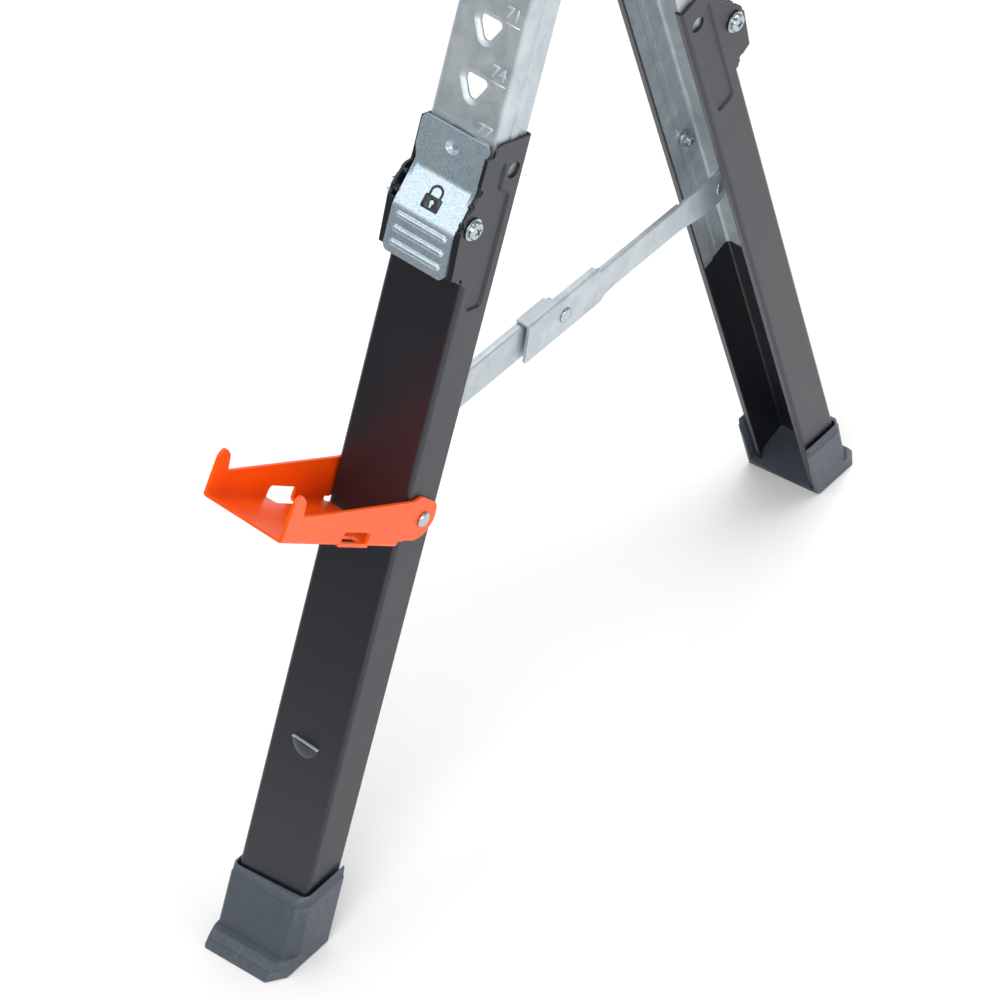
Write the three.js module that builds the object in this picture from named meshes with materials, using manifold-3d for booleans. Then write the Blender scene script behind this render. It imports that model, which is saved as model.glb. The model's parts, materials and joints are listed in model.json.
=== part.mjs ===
// Folding sawhorse with height-adjustable legs: a pressed steel beam, two
// folding A-frame ends, telescopic channel legs with a rocking lever lock,
// a two-bar spreader in each end and two swing-out board brackets.
//
// Millimetres. +X runs along the beam, +Y across it, +Z up.
// Origin: on the floor, under the middle of the beam.
//
// Leg coordinates (a, b, c): a runs along the beam towards the middle,
// b inwards from the outer face of the leg's web, c up along the leg from
// the floor. Every leg part is written once in these coordinates and
// mirrored to the four corners.
import * as THREE from 'three';
import { mergeVertices } from 'three/addons/utils/BufferGeometryUtils.js';
import Module from 'manifold-3d';

const wasm = await Module();
wasm.setup();

// ---------- driving dimensions ----------
const SPLAY = 19.4;          // sideways lean of a leg, degrees
const RAKE = 7.8;            // lengthways lean of an end frame, degrees
const FOOT_SPREAD = 260;     // outer web face to centre plane at the floor
const HINGE_X = 435;         // leg hinges to middle of beam
const HINGE_Y = 21;          // leg hinge to centre plane
const HINGE_B = 13;          // leg hinge depth in the channel
const SLEEVE_W = 48, SLEEVE_D = 28, SHEET = 1.5, LIP = 5;
const WEB_TOP = 442, SLEEVE_TOP = 523, SLEEVE_BOTTOM = 14;
const INNER_W = 44.4, INNER_BOTTOM = 236;
const HOLE_PITCH = 32.1, LOCK_C = 511.5;
const LEVER_C = 478, LEVER_B = -5.3;
const SPREAD_C = 327.6, SPREAD_B = 15.7;
const BRACKET_C = 300, BRACKET_B = 15, BRACKET_RISE = 20.3;
const PIN_OFF = 33, PIN_W = 659;   // end frame pin from the frame's middle, and its height along the frame
const BEAM_L = 1060, BEAM_W = 76, BEAM_BOTTOM = 723.1, BEAM_TOP = 771;

const rad = Math.PI / 180;
const cT = Math.cos(SPLAY * rad), sT = Math.sin(SPLAY * rad);
const cR = Math.cos(RAKE * rad), sR = Math.sin(RAKE * rad);
// height of the leg hinge along the leg and along the tilted end frame
const HINGE_C = (FOOT_SPREAD - HINGE_Y - HINGE_B * cT) / sT;
const HINGE_W = HINGE_C * cT - HINGE_B * sT;
const GROUND_X = HINGE_X + HINGE_W * sR;

// ---------- finishes ----------
const mat = (color, roughness, metalness) =>
  new THREE.MeshStandardMaterial({ color, roughness, metalness });
const BLACK = () => mat(0x232427, 0.42, 0.3);
const GALV = () => mat(0xc9d3d9, 0.42, 0.85);
const ZINC = () => mat(0xa9bccb, 0.32, 0.9);
const ORANGE = () => mat(0xff5a12, 0.4, 0.1);
const RUBBER = () => mat(0x474d56, 0.75, 0.0);
const BRIGHT = () => mat(0xd5dadd, 0.28, 0.95);

// ---------- solids ----------
const FACETS = 0.65;         // fineness of round pieces and rounded corners
function toSolid(geo) {
  const g = geo.clone();
  g.deleteAttribute('normal');
  if (g.getAttribute('uv')) g.deleteAttribute('uv');
  const m = mergeVertices(g, 1e-4);
  const mesh = new wasm.Mesh({
    numProp: 3,
    vertProperties: new Float32Array(m.getAttribute('position').array),
    triVerts: new Uint32Array(m.getIndex().array),
  });
  mesh.merge();
  return new wasm.Manifold(mesh);
}
function toGeometry(solid) {
  const m = solid.getMesh();
  const g = new THREE.BufferGeometry();
  const p = new Float32Array(m.numVert * 3);
  for (let i = 0; i < m.numVert; i++)
    for (let k = 0; k < 3; k++) p[i * 3 + k] = m.vertProperties[i * m.numProp + k];
  g.setAttribute('position', new THREE.BufferAttribute(p, 3));
  g.setIndex(new THREE.BufferAttribute(new Uint32Array(m.triVerts), 1));
  return g;
}
const join = (...s) => s.reduce((p, q) => p.add(q));
const cut = (s, ...t) => t.reduce((p, q) => p.subtract(q), s);

// outline of points in one plane, extruded along the third axis from lo to hi
function plate(plane, pts, lo, hi, holes = []) {
  const shape = new THREE.Shape(pts.map(p => new THREE.Vector2(p[0], p[1])));
  for (const h of holes) shape.holes.push(new THREE.Path(h.map(p => new THREE.Vector2(p[0], p[1]))));
  const g = new THREE.ExtrudeGeometry(shape, { depth: hi - lo, bevelEnabled: false, curveSegments: 8 });
  g.translate(0, 0, lo);
  const M = new THREE.Matrix4();
  if (plane === 'bc') M.set(0, 0, 1, 0, 1, 0, 0, 0, 0, 1, 0, 0, 0, 0, 0, 1);       // (u,v,d) -> (d,u,v)
  else if (plane === 'ab') M.identity();                                            // (u,v,d) -> (u,v,d)
  else if (plane === 'ac') M.set(1, 0, 0, 0, 0, 0, -1, 0, 0, 1, 0, 0, 0, 0, 0, 1);  // (u,v,d) -> (u,-d,v)
  g.applyMatrix4(M);
  return toSolid(g);
}
const box = (x0, y0, z0, x1, y1, z1) => {
  const g = new THREE.BoxGeometry(x1 - x0, y1 - y0, z1 - z0);
  g.translate((x0 + x1) / 2, (y0 + y1) / 2, (z0 + z1) / 2);
  return toSolid(g);
};
function cyl(axis, r, lo, hi, u, v, seg = 16, r2 = r) {
  if (seg > 8) seg = Math.round(seg * FACETS);
  const g = new THREE.CylinderGeometry(r2, r, hi - lo, seg);
  g.rotateY(Math.PI / seg);
  g.translate(0, (lo + hi) / 2, 0);
  if (axis === 'a') { g.rotateZ(-Math.PI / 2); g.translate(0, u, v); }
  if (axis === 'b') { g.translate(u, 0, v); }
  if (axis === 'c') { g.rotateX(Math.PI / 2); g.translate(u, v, 0); }
  return toSolid(g);
}
// outline with its corners rounded, radius per corner
function rounded(pts, r, n = 3) {
  n = Math.max(1, Math.round(n * FACETS));
  const out = [];
  const N = pts.length;
  for (let i = 0; i < N; i++) {
    const p = new THREE.Vector2(...pts[i].slice(0, 2));
    const ri = pts[i][2] ?? r;
    if (ri <= 0) { out.push([p.x, p.y]); continue; }
    const a = new THREE.Vector2(...pts[(i + N - 1) % N].slice(0, 2)).sub(p);
    const b = new THREE.Vector2(...pts[(i + 1) % N].slice(0, 2)).sub(p);
    const la = a.length(), lb = b.length();
    a.normalize(); b.normalize();
    const ang = Math.acos(Math.min(1, Math.max(-1, a.dot(b))));
    let d = ri / Math.tan(ang / 2);
    d = Math.min(d, la * 0.49, lb * 0.49);
    const rr = d * Math.tan(ang / 2);
    const bis = a.clone().add(b).normalize();
    const c = p.clone().add(bis.multiplyScalar(rr / Math.sin(ang / 2)));
    const s = p.clone().add(a.clone().multiplyScalar(d)).sub(c);
    const e = p.clone().add(b.clone().multiplyScalar(d)).sub(c);
    let t0 = Math.atan2(s.y, s.x), t1 = Math.atan2(e.y, e.x);
    let dt = t1 - t0;
    while (dt > Math.PI) dt -= 2 * Math.PI;
    while (dt < -Math.PI) dt += 2 * Math.PI;
    for (let k = 0; k <= n; k++) {
      const t = t0 + dt * k / n;
      out.push([c.x + rr * Math.cos(t), c.y + rr * Math.sin(t)]);
    }
  }
  return out;
}
// closed outline of a bent sheet: left and right offsets of an open path
function sheet(path, t) {
  const L = [], R = [];
  for (let i = 0; i < path.length; i++) {
    const p = new THREE.Vector2(...path[i]);
    const d0 = i > 0 ? new THREE.Vector2(...path[i]).sub(new THREE.Vector2(...path[i - 1])).normalize() : null;
    const d1 = i < path.length - 1 ? new THREE.Vector2(...path[i + 1]).sub(p).normalize() : null;
    const d = d0 && d1 ? d0.clone().add(d1).normalize() : (d0 || d1);
    const k = d0 && d1 ? 1 / Math.max(0.3, d.dot(d0)) : 1;
    const n = new THREE.Vector2(-d.y, d.x).multiplyScalar(t / 2 * k);
    L.push([p.x + n.x, p.y + n.y]);
    R.push([p.x - n.x, p.y - n.y]);
  }
  return L.concat(R.reverse());
}
// an open path with its inner corners turned into short arcs
function bent(pts, r, n = 3) {
  const out = [pts[0]];
  for (let i = 1; i < pts.length - 1; i++) {
    const tri = rounded([pts[i - 1].concat(0), pts[i].concat(r), pts[i + 1].concat(0)], 0, n);
    out.push(...tri.slice(1, tri.length - 1));
  }
  out.push(pts[pts.length - 1]);
  return out;
}

// ---------- leg parts in (a, b, c) ----------
const HW = SLEEVE_W / 2;

function sleeveSolid(withBracket) {
  const t = SHEET, D = SLEEVE_D, r = 3;
  const outer = rounded([[-HW, 0, r], [HW, 0, r], [HW, D, 2], [HW - LIP, D, 0], [HW - LIP, D - t, 0],
    [HW - t, D - t, 0.6], [HW - t, t, 1.6], [-HW + t, t, 1.6], [-HW + t, D - t, 0.6],
    [-HW + LIP, D - t, 0], [-HW + LIP, D, 0], [-HW, D, 2]], 0, 3);
  let s = plate('ab', outer, SLEEVE_BOTTOM, SLEEVE_TOP);
  // web ends below the lever cage
  s = cut(s, box(-HW + t, -1, WEB_TOP, HW - t, t + 0.4, SLEEVE_TOP + 1));
  s = cut(s, box(-HW + t - 3, -1, WEB_TOP + 3, HW - t + 3, 0.35, SLEEVE_TOP + 1));
  // lever cage: an ear on each side flange, with return lips
  const ear = [[4, SLEEVE_TOP], [0.6, SLEEVE_TOP, 1.5], [-0.8, SLEEVE_TOP - 2, 0], [-0.9, 516.5, 0], [-6.2, 516.5, 0.5],
    [-6.7, 500.5, 0], [-4.4, 499, 0.8], [-4.2, 496.6, 0.8], [-6.4, 495.2, 0], [-13.2, 481.5, 2], [-14.0, 475, 1],
    [-11.8, 449, 0], [-5, 446.5, 0.6], [-2.4, 446.2, 0.6], [-2.2, 443, 0], [4, 443, 0]];
  const low = [[4, SLEEVE_TOP], [0.6, SLEEVE_TOP, 1.5], [-0.8, SLEEVE_TOP - 2, 0], [-0.9, 496, 0], [-3, 493, 1], [-6.4, 492, 1], [-13.2, 481.5, 2], [-14.0, 475, 1],
    [-11.8, 449, 0], [-5, 446.5, 0.6], [-2.4, 446.2, 0.6], [-2.2, 443, 0], [4, 443, 0]];
  for (const q of [-1, 1]) {
    const lo = q > 0 ? HW - t : -HW, hi = q > 0 ? HW : -HW + t;
    s = join(s, plate('bc', rounded(q > 0 ? ear : low, 0, 2), lo, hi));
    const l0 = q > 0 ? HW - 3.7 : -HW, l1 = q > 0 ? HW : -HW + 3.7;
    s = join(s, plate('bc', [[-14.0, 476.5], [-12.5, 476.5], [-10.3, 449], [-11.8, 449]], l0, l1));
    if (q > 0) s = join(s, plate('bc', [[-6.2, 516.5], [-4.8, 516.5], [-5.3, 500.8], [-6.7, 500.5]], l0, l1));
    // round spring-pin hole near the open edge, and the lever bolt's hole
    s = cut(s, cyl('a', 4.7, q > 0 ? HW - 3 : -HW - 1, q > 0 ? HW + 1 : -HW + 3, 19, 505, 20),
      cyl('a', 3.2, q > 0 ? HW - 3 : -HW - 1, q > 0 ? HW + 1 : -HW + 3, LEVER_B, LEVER_C, 16));
    if (withBracket) s = cut(s, cyl('a', 3.5, q > 0 ? HW - 3 : -HW - 1, q > 0 ? HW + 1 : -HW + 3, BRACKET_B, BRACKET_C, 14));
    // long pressed panel
    const panel = rounded([[8.2, 426, 2], [21, 426, 2], [21, 494, 1.5], [11.6, 494, 1.5], [11.6, 510.5, 1.8], [8, 510.5, 1.8]], 0, 2);
    s = cut(s, plate('bc', panel, q > 0 ? HW - 0.7 : -HW - 1, q > 0 ? HW + 1 : -HW + 0.7));
  }
  // half-moon pressing near the foot
  const moon = new THREE.SphereGeometry(1, 10, 6);
  moon.scale(8.6, 3.6, 8.6);
  moon.translate(0, 0, 146.5);
  s = join(s, cut(toSolid(moon), box(-12, 0.8, 130, 12, 12, 160), box(-12, -12, 146.5, 12, 12, 160)));
  return s;
}

function innerLegSolid() {
  const t = 1.5, h = INNER_W / 2, b0 = 1.8, b1 = 26.2, st = 17.5, r = 4.2;
  const pts = rounded([[-h, b0, r], [h, b0, r], [h, st, 0], [h - 0.7, st + 1, 0], [h - 0.7, b1, 0],
    [h - 0.7 - t, b1, 0], [h - 0.7 - t, st + 1.3, 0], [h - t, st + 0.3, 0], [h - t, b0 + t, r - t],
    [-h + t, b0 + t, r - t], [-h + t, st + 0.3, 0], [-h + 0.7 + t, st + 1.3, 0], [-h + 0.7 + t, b1, 0],
    [-h + 0.7, b1, 0], [-h + 0.7, st + 1, 0], [-h, st, 0]], 0, 4);
  let s = plate('ab', pts, INNER_BOTTOM, HINGE_C + 13);
  // locking holes, point down
  for (let k = -3; k <= 3; k++) {
    const z = LOCK_C + k * HOLE_PITCH;
    const hole = rounded([[-8.6, z + 6.5, 2.6], [8.6, z + 6.5, 2.6], [0, z - 9.4, 3.2]], 2.6, 1);
    s = cut(s, plate('ac', hole, -b0 - t - 1, -b0 + 1));
  }
  // tab lanced out of the web for the spreader pivot, its hinge bore, the hinge bolt holes
  const a1 = TAB_HI, a0 = TAB_HI - 2;
  const tab = rounded([[b0 + 0.6, SPREAD_C - 11, 0], [SPREAD_B + 2, SPREAD_C - 11, 9], [SPREAD_B + 9, SPREAD_C, 8],
    [SPREAD_B + 2, SPREAD_C + 11, 9], [b0 + 0.6, SPREAD_C + 11, 0]], 0, 3);
  s = join(s, plate('bc', tab, a0, a1));
  s = cut(s, cyl('a', 3.2, a0 - 1, a1 + 1, SPREAD_B, SPREAD_C, 16));
  s = cut(s, cyl('a', 4.3, -h - 1, h + 1, HINGE_B, HINGE_C, 20));
  // guide bolt hole in the outboard flange, pressed bead below and above it
  s = cut(s, cyl('a', 3.0, -h - 1, -h + 3, 12.6, 356, 16));
  s = join(s, plate('bc', [[11.9, INNER_BOTTOM + 8], [13.3, INNER_BOTTOM + 8], [13.3, 344], [11.9, 344]], -h + t - 0.3, -h + t + 0.6));
  return s;
}
let TAB_HI = 0; // inboard face of the pivot tab, set per leg below

function leverSolid() {
  const w = 19.9, t = 1.6;
  const path = bent([[-2.7, 521.5], [-2.7, 494], [-13.1, 473.5], [-13.1, 447.5]], 7, 4);
  let s = plate('bc', sheet(path, t), -w, w);
  // rounded free corners
  for (const q of [-1, 1]) {
    const c0 = q > 0 ? 1 : -1;
    const top = [[c0 * w + c0 * 1, 523], [c0 * (w - 5), 523], [c0 * (w - 5), 521.6], [c0 * (w - 1.5), 520], [c0 * w, 516.5], [c0 * (w + 1), 516.5]];
    const low = [[c0 * w + c0 * 1, 446], [c0 * (w - 4), 446], [c0 * (w - 4), 447.4], [c0 * (w - 1.2), 448.8], [c0 * w, 451.5], [c0 * (w + 1), 451.5]];
    s = cut(s, plate('ac', q > 0 ? top : top.slice().reverse(), 0, 6),
      plate('ac', q > 0 ? low.slice().reverse() : low, 8, 20));
  }
  // three pressed grip ribs
  for (const z of [469.6, 461.6, 453.6]) {
    s = join(s, plate('bc', [[-13, z - 2.1], [-14.6, z - 1.6], [-15.2, z], [-14.6, z + 1.6], [-13, z + 2.1]].reverse(), -16, 16));
  }
  // bolt cheeks under the slope
  for (const q of [-1, 1]) {
    const lo = q > 0 ? w - 2 : -w, hi = q > 0 ? w : -w + 2;
    s = join(s, plate('bc', rounded([[-3.2, 497, 0], [-12.6, 474.2, 0], [-12.6, 466, 2], [-8, 468.5, 3], [0.4, 473.5, 4], [0.9, 482, 4], [-1.8, 492, 2]], 0, 2), lo, hi));
    s = cut(s, cyl('a', 3.2, lo - 1, hi + 1, LEVER_B, LEVER_C, 16));
  }
  // locking tooth, seen from outside as a dimple
  s = join(s, cyl('b', 3.6, -3, 1.3, 0, LOCK_C, 12, 2.6));
  s = cut(s, cyl('b', 2.6, -5, -1.6, 0, LOCK_C, 12, 1.8));
  return s;
}

function leverBoltSolid() {
  // washer, pan head, shank and nut in one turned outline
  return join(cyl('a', 2.9, -26.5, 26, LEVER_B, LEVER_C, 14),
    cyl('a', 6.2, HW + 0.3, HW + 1.4, LEVER_B, LEVER_C, 20),
    cyl('a', 4.9, HW + 1.3, HW + 4.0, LEVER_B, LEVER_C, 16, 4.0),
    cyl('a', 5.2, -HW - 3.9, -HW - 0.3, LEVER_B, LEVER_C, 6));
}
const springSolid = () => cut(cyl('a', 3.95, -9, 9, LEVER_B, LEVER_C, 12), cyl('a', 3.35, -10, 10, LEVER_B, LEVER_C, 12));

function guideBoltSolid() {
  const h = INNER_W / 2;
  return join(cyl('a', 2.7, -h + 0.1, -h + 7.5, 12.6, 356, 14),
    cyl('a', 5.0, -h + 1.8, -h + 2.8, 12.6, 356, 18),
    cyl('a', 4.4, -h + 2.7, -h + 6.0, 12.6, 356, 6));
}
function hingeBoltSolid() {
  const h = 24.8;
  return join(cyl('a', 3.9, -h - 2, h + 2, HINGE_B, HINGE_C, 18),
    cyl('a', 6.6, h, h + 3.2, HINGE_B, HINGE_C, 18, 5.4),
    cyl('a', 6.6, -h - 3.2, -h, HINGE_B, HINGE_C, 6));
}

function footSolid() {
  // written in floor axes (a, y, z) at the leg's floor point, y inwards
  const wall = 3.1, H = 50;
  const w = HW + wall + 0.3;
  const inY = 33;
  // sloping block that follows the leg, cut to a level rim and sole
  const dirY = sT / cT / cR;   // y shift per mm of height (leg's lean)
  const dirA = sR / cR;        // a shift per mm of height (end frame's rake)
  const y0 = z => z * dirY;
  // section outline in (y, z)
  const sec = [[-10.8, 0], [-10.8, 1.2], [-6.8, 5.2], [-6.4, 6.0], [-2.0, 9.4], [y0(11) - 4.3, 11], [y0(H) - 3.2, H],
    [y0(H) + SLEEVE_D / cT + 0.5, H], [inY + y0(6) * 0.4, 6], [inY - 1, 0]];
  let s = plate('bc', rounded(sec.map((p, i) => p.concat([0, 6].includes(i) ? 0.6 : 0)), 0, 2), -w - 0.5, w + 0.5);
  // chamfered outer corners and slightly tapered sides
  for (const q of [-1, 1]) {
    const sh = q > 0 ? [[w + 2, -20], [w + 2, 2], [w - 4, -20]] : [[-w - 2, -20], [-w + 4, -20], [-w - 2, 2]];
    // corner chamfer runs with the leg's lean
    const g = new THREE.ExtrudeGeometry(new THREE.Shape(sh.map(p => new THREE.Vector2(...p))), { depth: H + 20, bevelEnabled: false });
    g.translate(0, 0, -6);
    g.applyMatrix4(new THREE.Matrix4().set(1, 0, 0, 0, 0, 1, dirY, 0, 0, 0, 1, 0, 0, 0, 0, 1));
    s = cut(s, toSolid(g));
  }
  return s.transform(new THREE.Matrix4().set(1, 0, dirA, 0, 0, 1, 0, 0, 0, 0, 1, 0, 0, 0, 0, 1).elements);
}
// the sleeve's socket, cut from the foot in leg coordinates
const footSocket = () => box(-HW - 0.3, -0.3, SLEEVE_BOTTOM - 0.3, HW + 0.3, 60, 120);

function bracketSolid() {
  const A0 = HW + 0.4, A1 = HW + 2.2;        // arm inner and outer faces
  const arm = rounded([[15.5, 9.4, 3], [9.4, 12.6, 5], [-8, 9.6, 7], [-12, 0, 6], [-8.4, -9.4, 5], [-1, -12.8, 3], [9.4, -12.9, 0.5],
    [11.4, -17.4, 0.5], [126.2, -17.4, 1.5], [129.8, 6, 3], [126, 9.8, 4], [119.4, 5, 3], [116.2, -2.2, 2]], 0, 3);
  const hole = rounded([[44.5, -9.2, 1.5], [44, -18.5, 0], [70, -18.5, 0], [70, -9.2, 1.5]].reverse(), 0, 2);
  // in (p, q): p out along the plate, q up from it; arm plane is a
  const P = (pts) => pts.map(([p, q]) => {
    const c = Math.cos(BRACKET_RISE * rad), s = Math.sin(BRACKET_RISE * rad);
    return [BRACKET_B - c * p + s * q, BRACKET_C + s * p + c * q];
  });
  let s = null;
  for (const q of [-1, 1]) {
    const lo = q > 0 ? A0 : -A1, hi = q > 0 ? A1 : -A0;
    let m = plate('bc', P(arm), lo, hi);
    s = s ? join(s, m) : m;
  }
  s = join(s, plate('bc', P([[11.4, -15.6], [11.0, -17.4], [126.2, -17.4], [126.6, -15.6]]), -A1, A1));
  // slots through both folds, reliefs at the inner end, bolt holes
  for (const q of [-1, 1]) {
    const lo = q > 0 ? A1 - 9 : -A1 - 1, hi = q > 0 ? A1 + 1 : -A1 + 9;
    s = cut(s, plate('bc', P(hole), lo, hi));
    s = cut(s, plate('bc', P([[10, -12.6], [10, -18.5], [15.5, -18.5], [15.5, -12.6]]), q > 0 ? A1 - 6 : -A1 - 1, q > 0 ? A1 + 1 : -A1 + 6));
    s = cut(s, cyl('a', 3.4, q > 0 ? A0 - 1 : -A1 - 1, q > 0 ? A1 + 1 : -A0 + 1, BRACKET_B, BRACKET_C, 16));
  }
  // the slots leave a strap along the fold
  for (const q of [-1, 1]) {
    const lo = q > 0 ? A1 - 1.8 : -A1, hi = q > 0 ? A1 : -A1 + 1.8;
    s = join(s, plate('bc', P([[43, -15.9], [43, -17.4], [71, -17.4], [71, -15.9]]), lo, hi));
  }
  return s;
}
// short shouldered rivet through one sleeve flange and one bracket arm
function bracketRivetSolid(q) {
  return q > 0
    ? join(cyl('a', 3.1, HW - SHEET + 0.1, 28.0, BRACKET_B, BRACKET_C, 16), cyl('a', 5.2, HW + 2.5, HW + 4.4, BRACKET_B, BRACKET_C, 20, 4.0))
    : join(cyl('a', 3.1, -28.0, -HW + SHEET - 0.1, BRACKET_B, BRACKET_C, 16), cyl('a', 4.0, -HW - 4.4, -HW - 2.5, BRACKET_B, BRACKET_C, 20, 5.2));
}

// ---------- end frame parts in (a, y, w): w runs up the tilted frame ----------
// spreader bars, written at y towards +Y from the pivot side named
const PIV_Y = FOOT_SPREAD - SPREAD_C * sT - SPREAD_B * cT;   // pivot to centre plane
const PIV_W = SPREAD_C * cT - SPREAD_B * sT;

function linkOuterSolid() { // bar on the +Y leg, nearest the middle of the sawhorse
  const A0 = 0, A1 = 1.8;
  const out = rounded([[-30, 13, 1], [-34, -12, 1], [30.5, -12, 2], [33, -9, 2], [40, -8.2, 4], [104, -8.2, 10], [120, -11.5, 8],
    [PIV_Y + 2, -11.5, 11], [PIV_Y + 11.3, 0, 11], [PIV_Y + 2, 11.5, 11], [104, 11.5, 6], [98, 10.4, 4], [36, 10.4, 4], [28, 13, 2]], 0, 3);
  let s = plate('bc', out, A0, A1);
  s = join(s, box(-2.1, -30, 11.4, A1, 28, 13));          // narrow top fold
  s = join(s, box(-7.6, -31, 11.4, A1, -8, 13));          // deep stop fold over the other bar
  s = join(s, box(-1.4, 28, 8.9, A1, 100, 10.4));
  s = cut(s, cyl('a', 3.2, -3, 3, PIV_Y, 0, 16), cyl('a', 3.2, -3, 3, 0, 0, 16));
  return s;
}
function linkInnerSolid() { // bar on the -Y leg, behind the other
  const A0 = -4.2, A1 = -2.4;
  const out = rounded([[10.8, 10.8, 10.5], [10.8, -10.8, 10.5], [-PIV_Y - 2, -10.8, 10], [-PIV_Y - 11, 0, 10], [-PIV_Y - 2, 10.8, 10]], 0, 3);
  let s = plate('bc', out, A0, A1);
  s = join(s, box(-7.0, -PIV_Y + 18, 9.3, A1, -4, 10.8));
  s = cut(s, cyl('a', 3.2, -6, 0, -PIV_Y, 0, 16));
  return s;
}
const midRivetSolid = () => join(cyl('a', 2.9, -1.8, 2.4, 0, 0, 14), cyl('a', 4.6, 2.1, 3.6, 0, 0, 16, 3.4));
function pivotRivetSolid(lo, hi) { // through tab and bar, head at each end
  return join(cyl('a', 2.9, lo - 1.2, hi + 1.2, 0, 0, 14), cyl('a', 4.6, hi + 0.3, hi + 1.7, 0, 0, 16, 3.4),
    cyl('a', 3.4, lo - 1.7, lo - 0.3, 0, 0, 16, 4.6));
}

const latchA = side => side > 0 ? 0 : -12;     // where the latch bore sits across the end frame
function yokeSolid(side) { // side: +1 when the frame pin is on the a > 0 side
  const t = 1.8, A = INNER_W / 2 + 0.4;
  const prof = rounded([[-HINGE_Y - 12, HINGE_W - 8, 9], [-HINGE_Y + 10, HINGE_W - 12, 9], [0, HINGE_W - 2, 8], [HINGE_Y - 10, HINGE_W - 12, 9],
    [HINGE_Y + 12, HINGE_W - 8, 9], [37, HINGE_W + 22.5, 2], [-37, HINGE_W + 22.5, 2]], 0, 3);
  let s = join(plate('bc', prof, A, A + t), plate('bc', prof, -A - t, -A));
  s = join(s, box(-A - t, -37, HINGE_W + 20.2, A + t, 37, HINGE_W + 22.5));
  // side tabs for the latch plunger
  const la = latchA(side);
  for (const q of [-1, 1]) s = join(s, box(la - 10, q > 0 ? 35 : -37, HINGE_W + 9, 14, q > 0 ? 37 : -35, HINGE_W + 22));
  s = cut(s, cyl('b', 3.6, -38, -34, la, HINGE_W + 14, 16), cyl('b', 3.6, 34, 38, la, HINGE_W + 14, 16));
  // barrel for the frame pin
  s = join(s, cyl('b', 7.5, -37, 37, side * PIN_OFF, PIN_W, 20),
    box(side > 0 ? A : -PIN_OFF - 0.5, -37, PIN_W - 2, side > 0 ? PIN_OFF + 0.5 : -A, 37, PIN_W + 2.5));
  s = cut(s, cyl('b', 4.4, -38, 38, side * PIN_OFF, PIN_W, 20));
  s = cut(s, cyl('a', 4.2, -30, 30, -HINGE_Y, HINGE_W, 18), cyl('a', 4.2, -30, 30, HINGE_Y, HINGE_W, 18));
  return s;
}

// ---------- beam parts in the object's own axes ----------
const zPin = side => PIN_W * cR - side * PIN_OFF * sR;      // +1: pin on the inboard side
const xPin = side => GROUND_X - PIN_W * sR - side * PIN_OFF * cR; // distance from the middle

function beamSolid() {
  const t = 2.5, H = BEAM_W / 2;
  const sec = rounded([[-H, BEAM_BOTTOM, 0], [-H, BEAM_TOP, 5], [H, BEAM_TOP, 5], [H, BEAM_BOTTOM, 0],
    [H - 12, BEAM_BOTTOM, 0], [H - 12, BEAM_BOTTOM + t, 0], [H - t, BEAM_BOTTOM + t, 0], [H - t, BEAM_TOP - t, 2.5],
    [-H + t, BEAM_TOP - t, 2.5], [-H + t, BEAM_BOTTOM + t, 0], [-H + 12, BEAM_BOTTOM + t, 0], [-H + 12, BEAM_BOTTOM, 0]], 0, 3);
  let s = plate('bc', sec, -BEAM_L / 2, BEAM_L / 2);
  // long pressed grooves in the side walls
  for (const q of [-1, 1]) {
    const g = rounded([[-330, 741, 4], [330, 741, 4], [330, 754, 4], [-330, 754, 4]], 0, 3);
    s = cut(s, q > 0 ? plate('ac', g, -H - 1, -H + 0.9) : plate('ac', g, H - 0.9, H + 1));
  }
  return s;
}
function endCapSolid(sx) {
  const H = BEAM_W / 2 + 1.5, x0 = BEAM_L / 2 + 0.3, x1 = x0 + 4;
  let s = plate('bc', rounded([[-H, BEAM_BOTTOM - 1.5, 3], [H, BEAM_BOTTOM - 1.5, 3], [H, BEAM_TOP, 6], [-H, BEAM_TOP, 6]], 0, 3),
    sx > 0 ? x0 : -x1, sx > 0 ? x1 : -x0);
  const h = BEAM_W / 2 - 2.9;
  const p = plate('bc', rounded([[-h, BEAM_BOTTOM + 3, 0], [h, BEAM_BOTTOM + 3, 0], [h, BEAM_TOP - 2.9, 2], [-h, BEAM_TOP - 2.9, 2]], 0, 2),
    sx > 0 ? x0 - 18 : -x0 - 0.1, sx > 0 ? x0 + 0.1 : -x0 + 18);
  const q = plate('bc', [[-h + 2.5, BEAM_BOTTOM + 5.5], [h - 2.5, BEAM_BOTTOM + 5.5], [h - 2.5, BEAM_TOP - 5.4], [-h + 2.5, BEAM_TOP - 5.4]],
    sx > 0 ? x0 - 19 : -x0, sx > 0 ? x0 : -x0 + 19);
  return join(s, cut(p, q));
}
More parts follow.
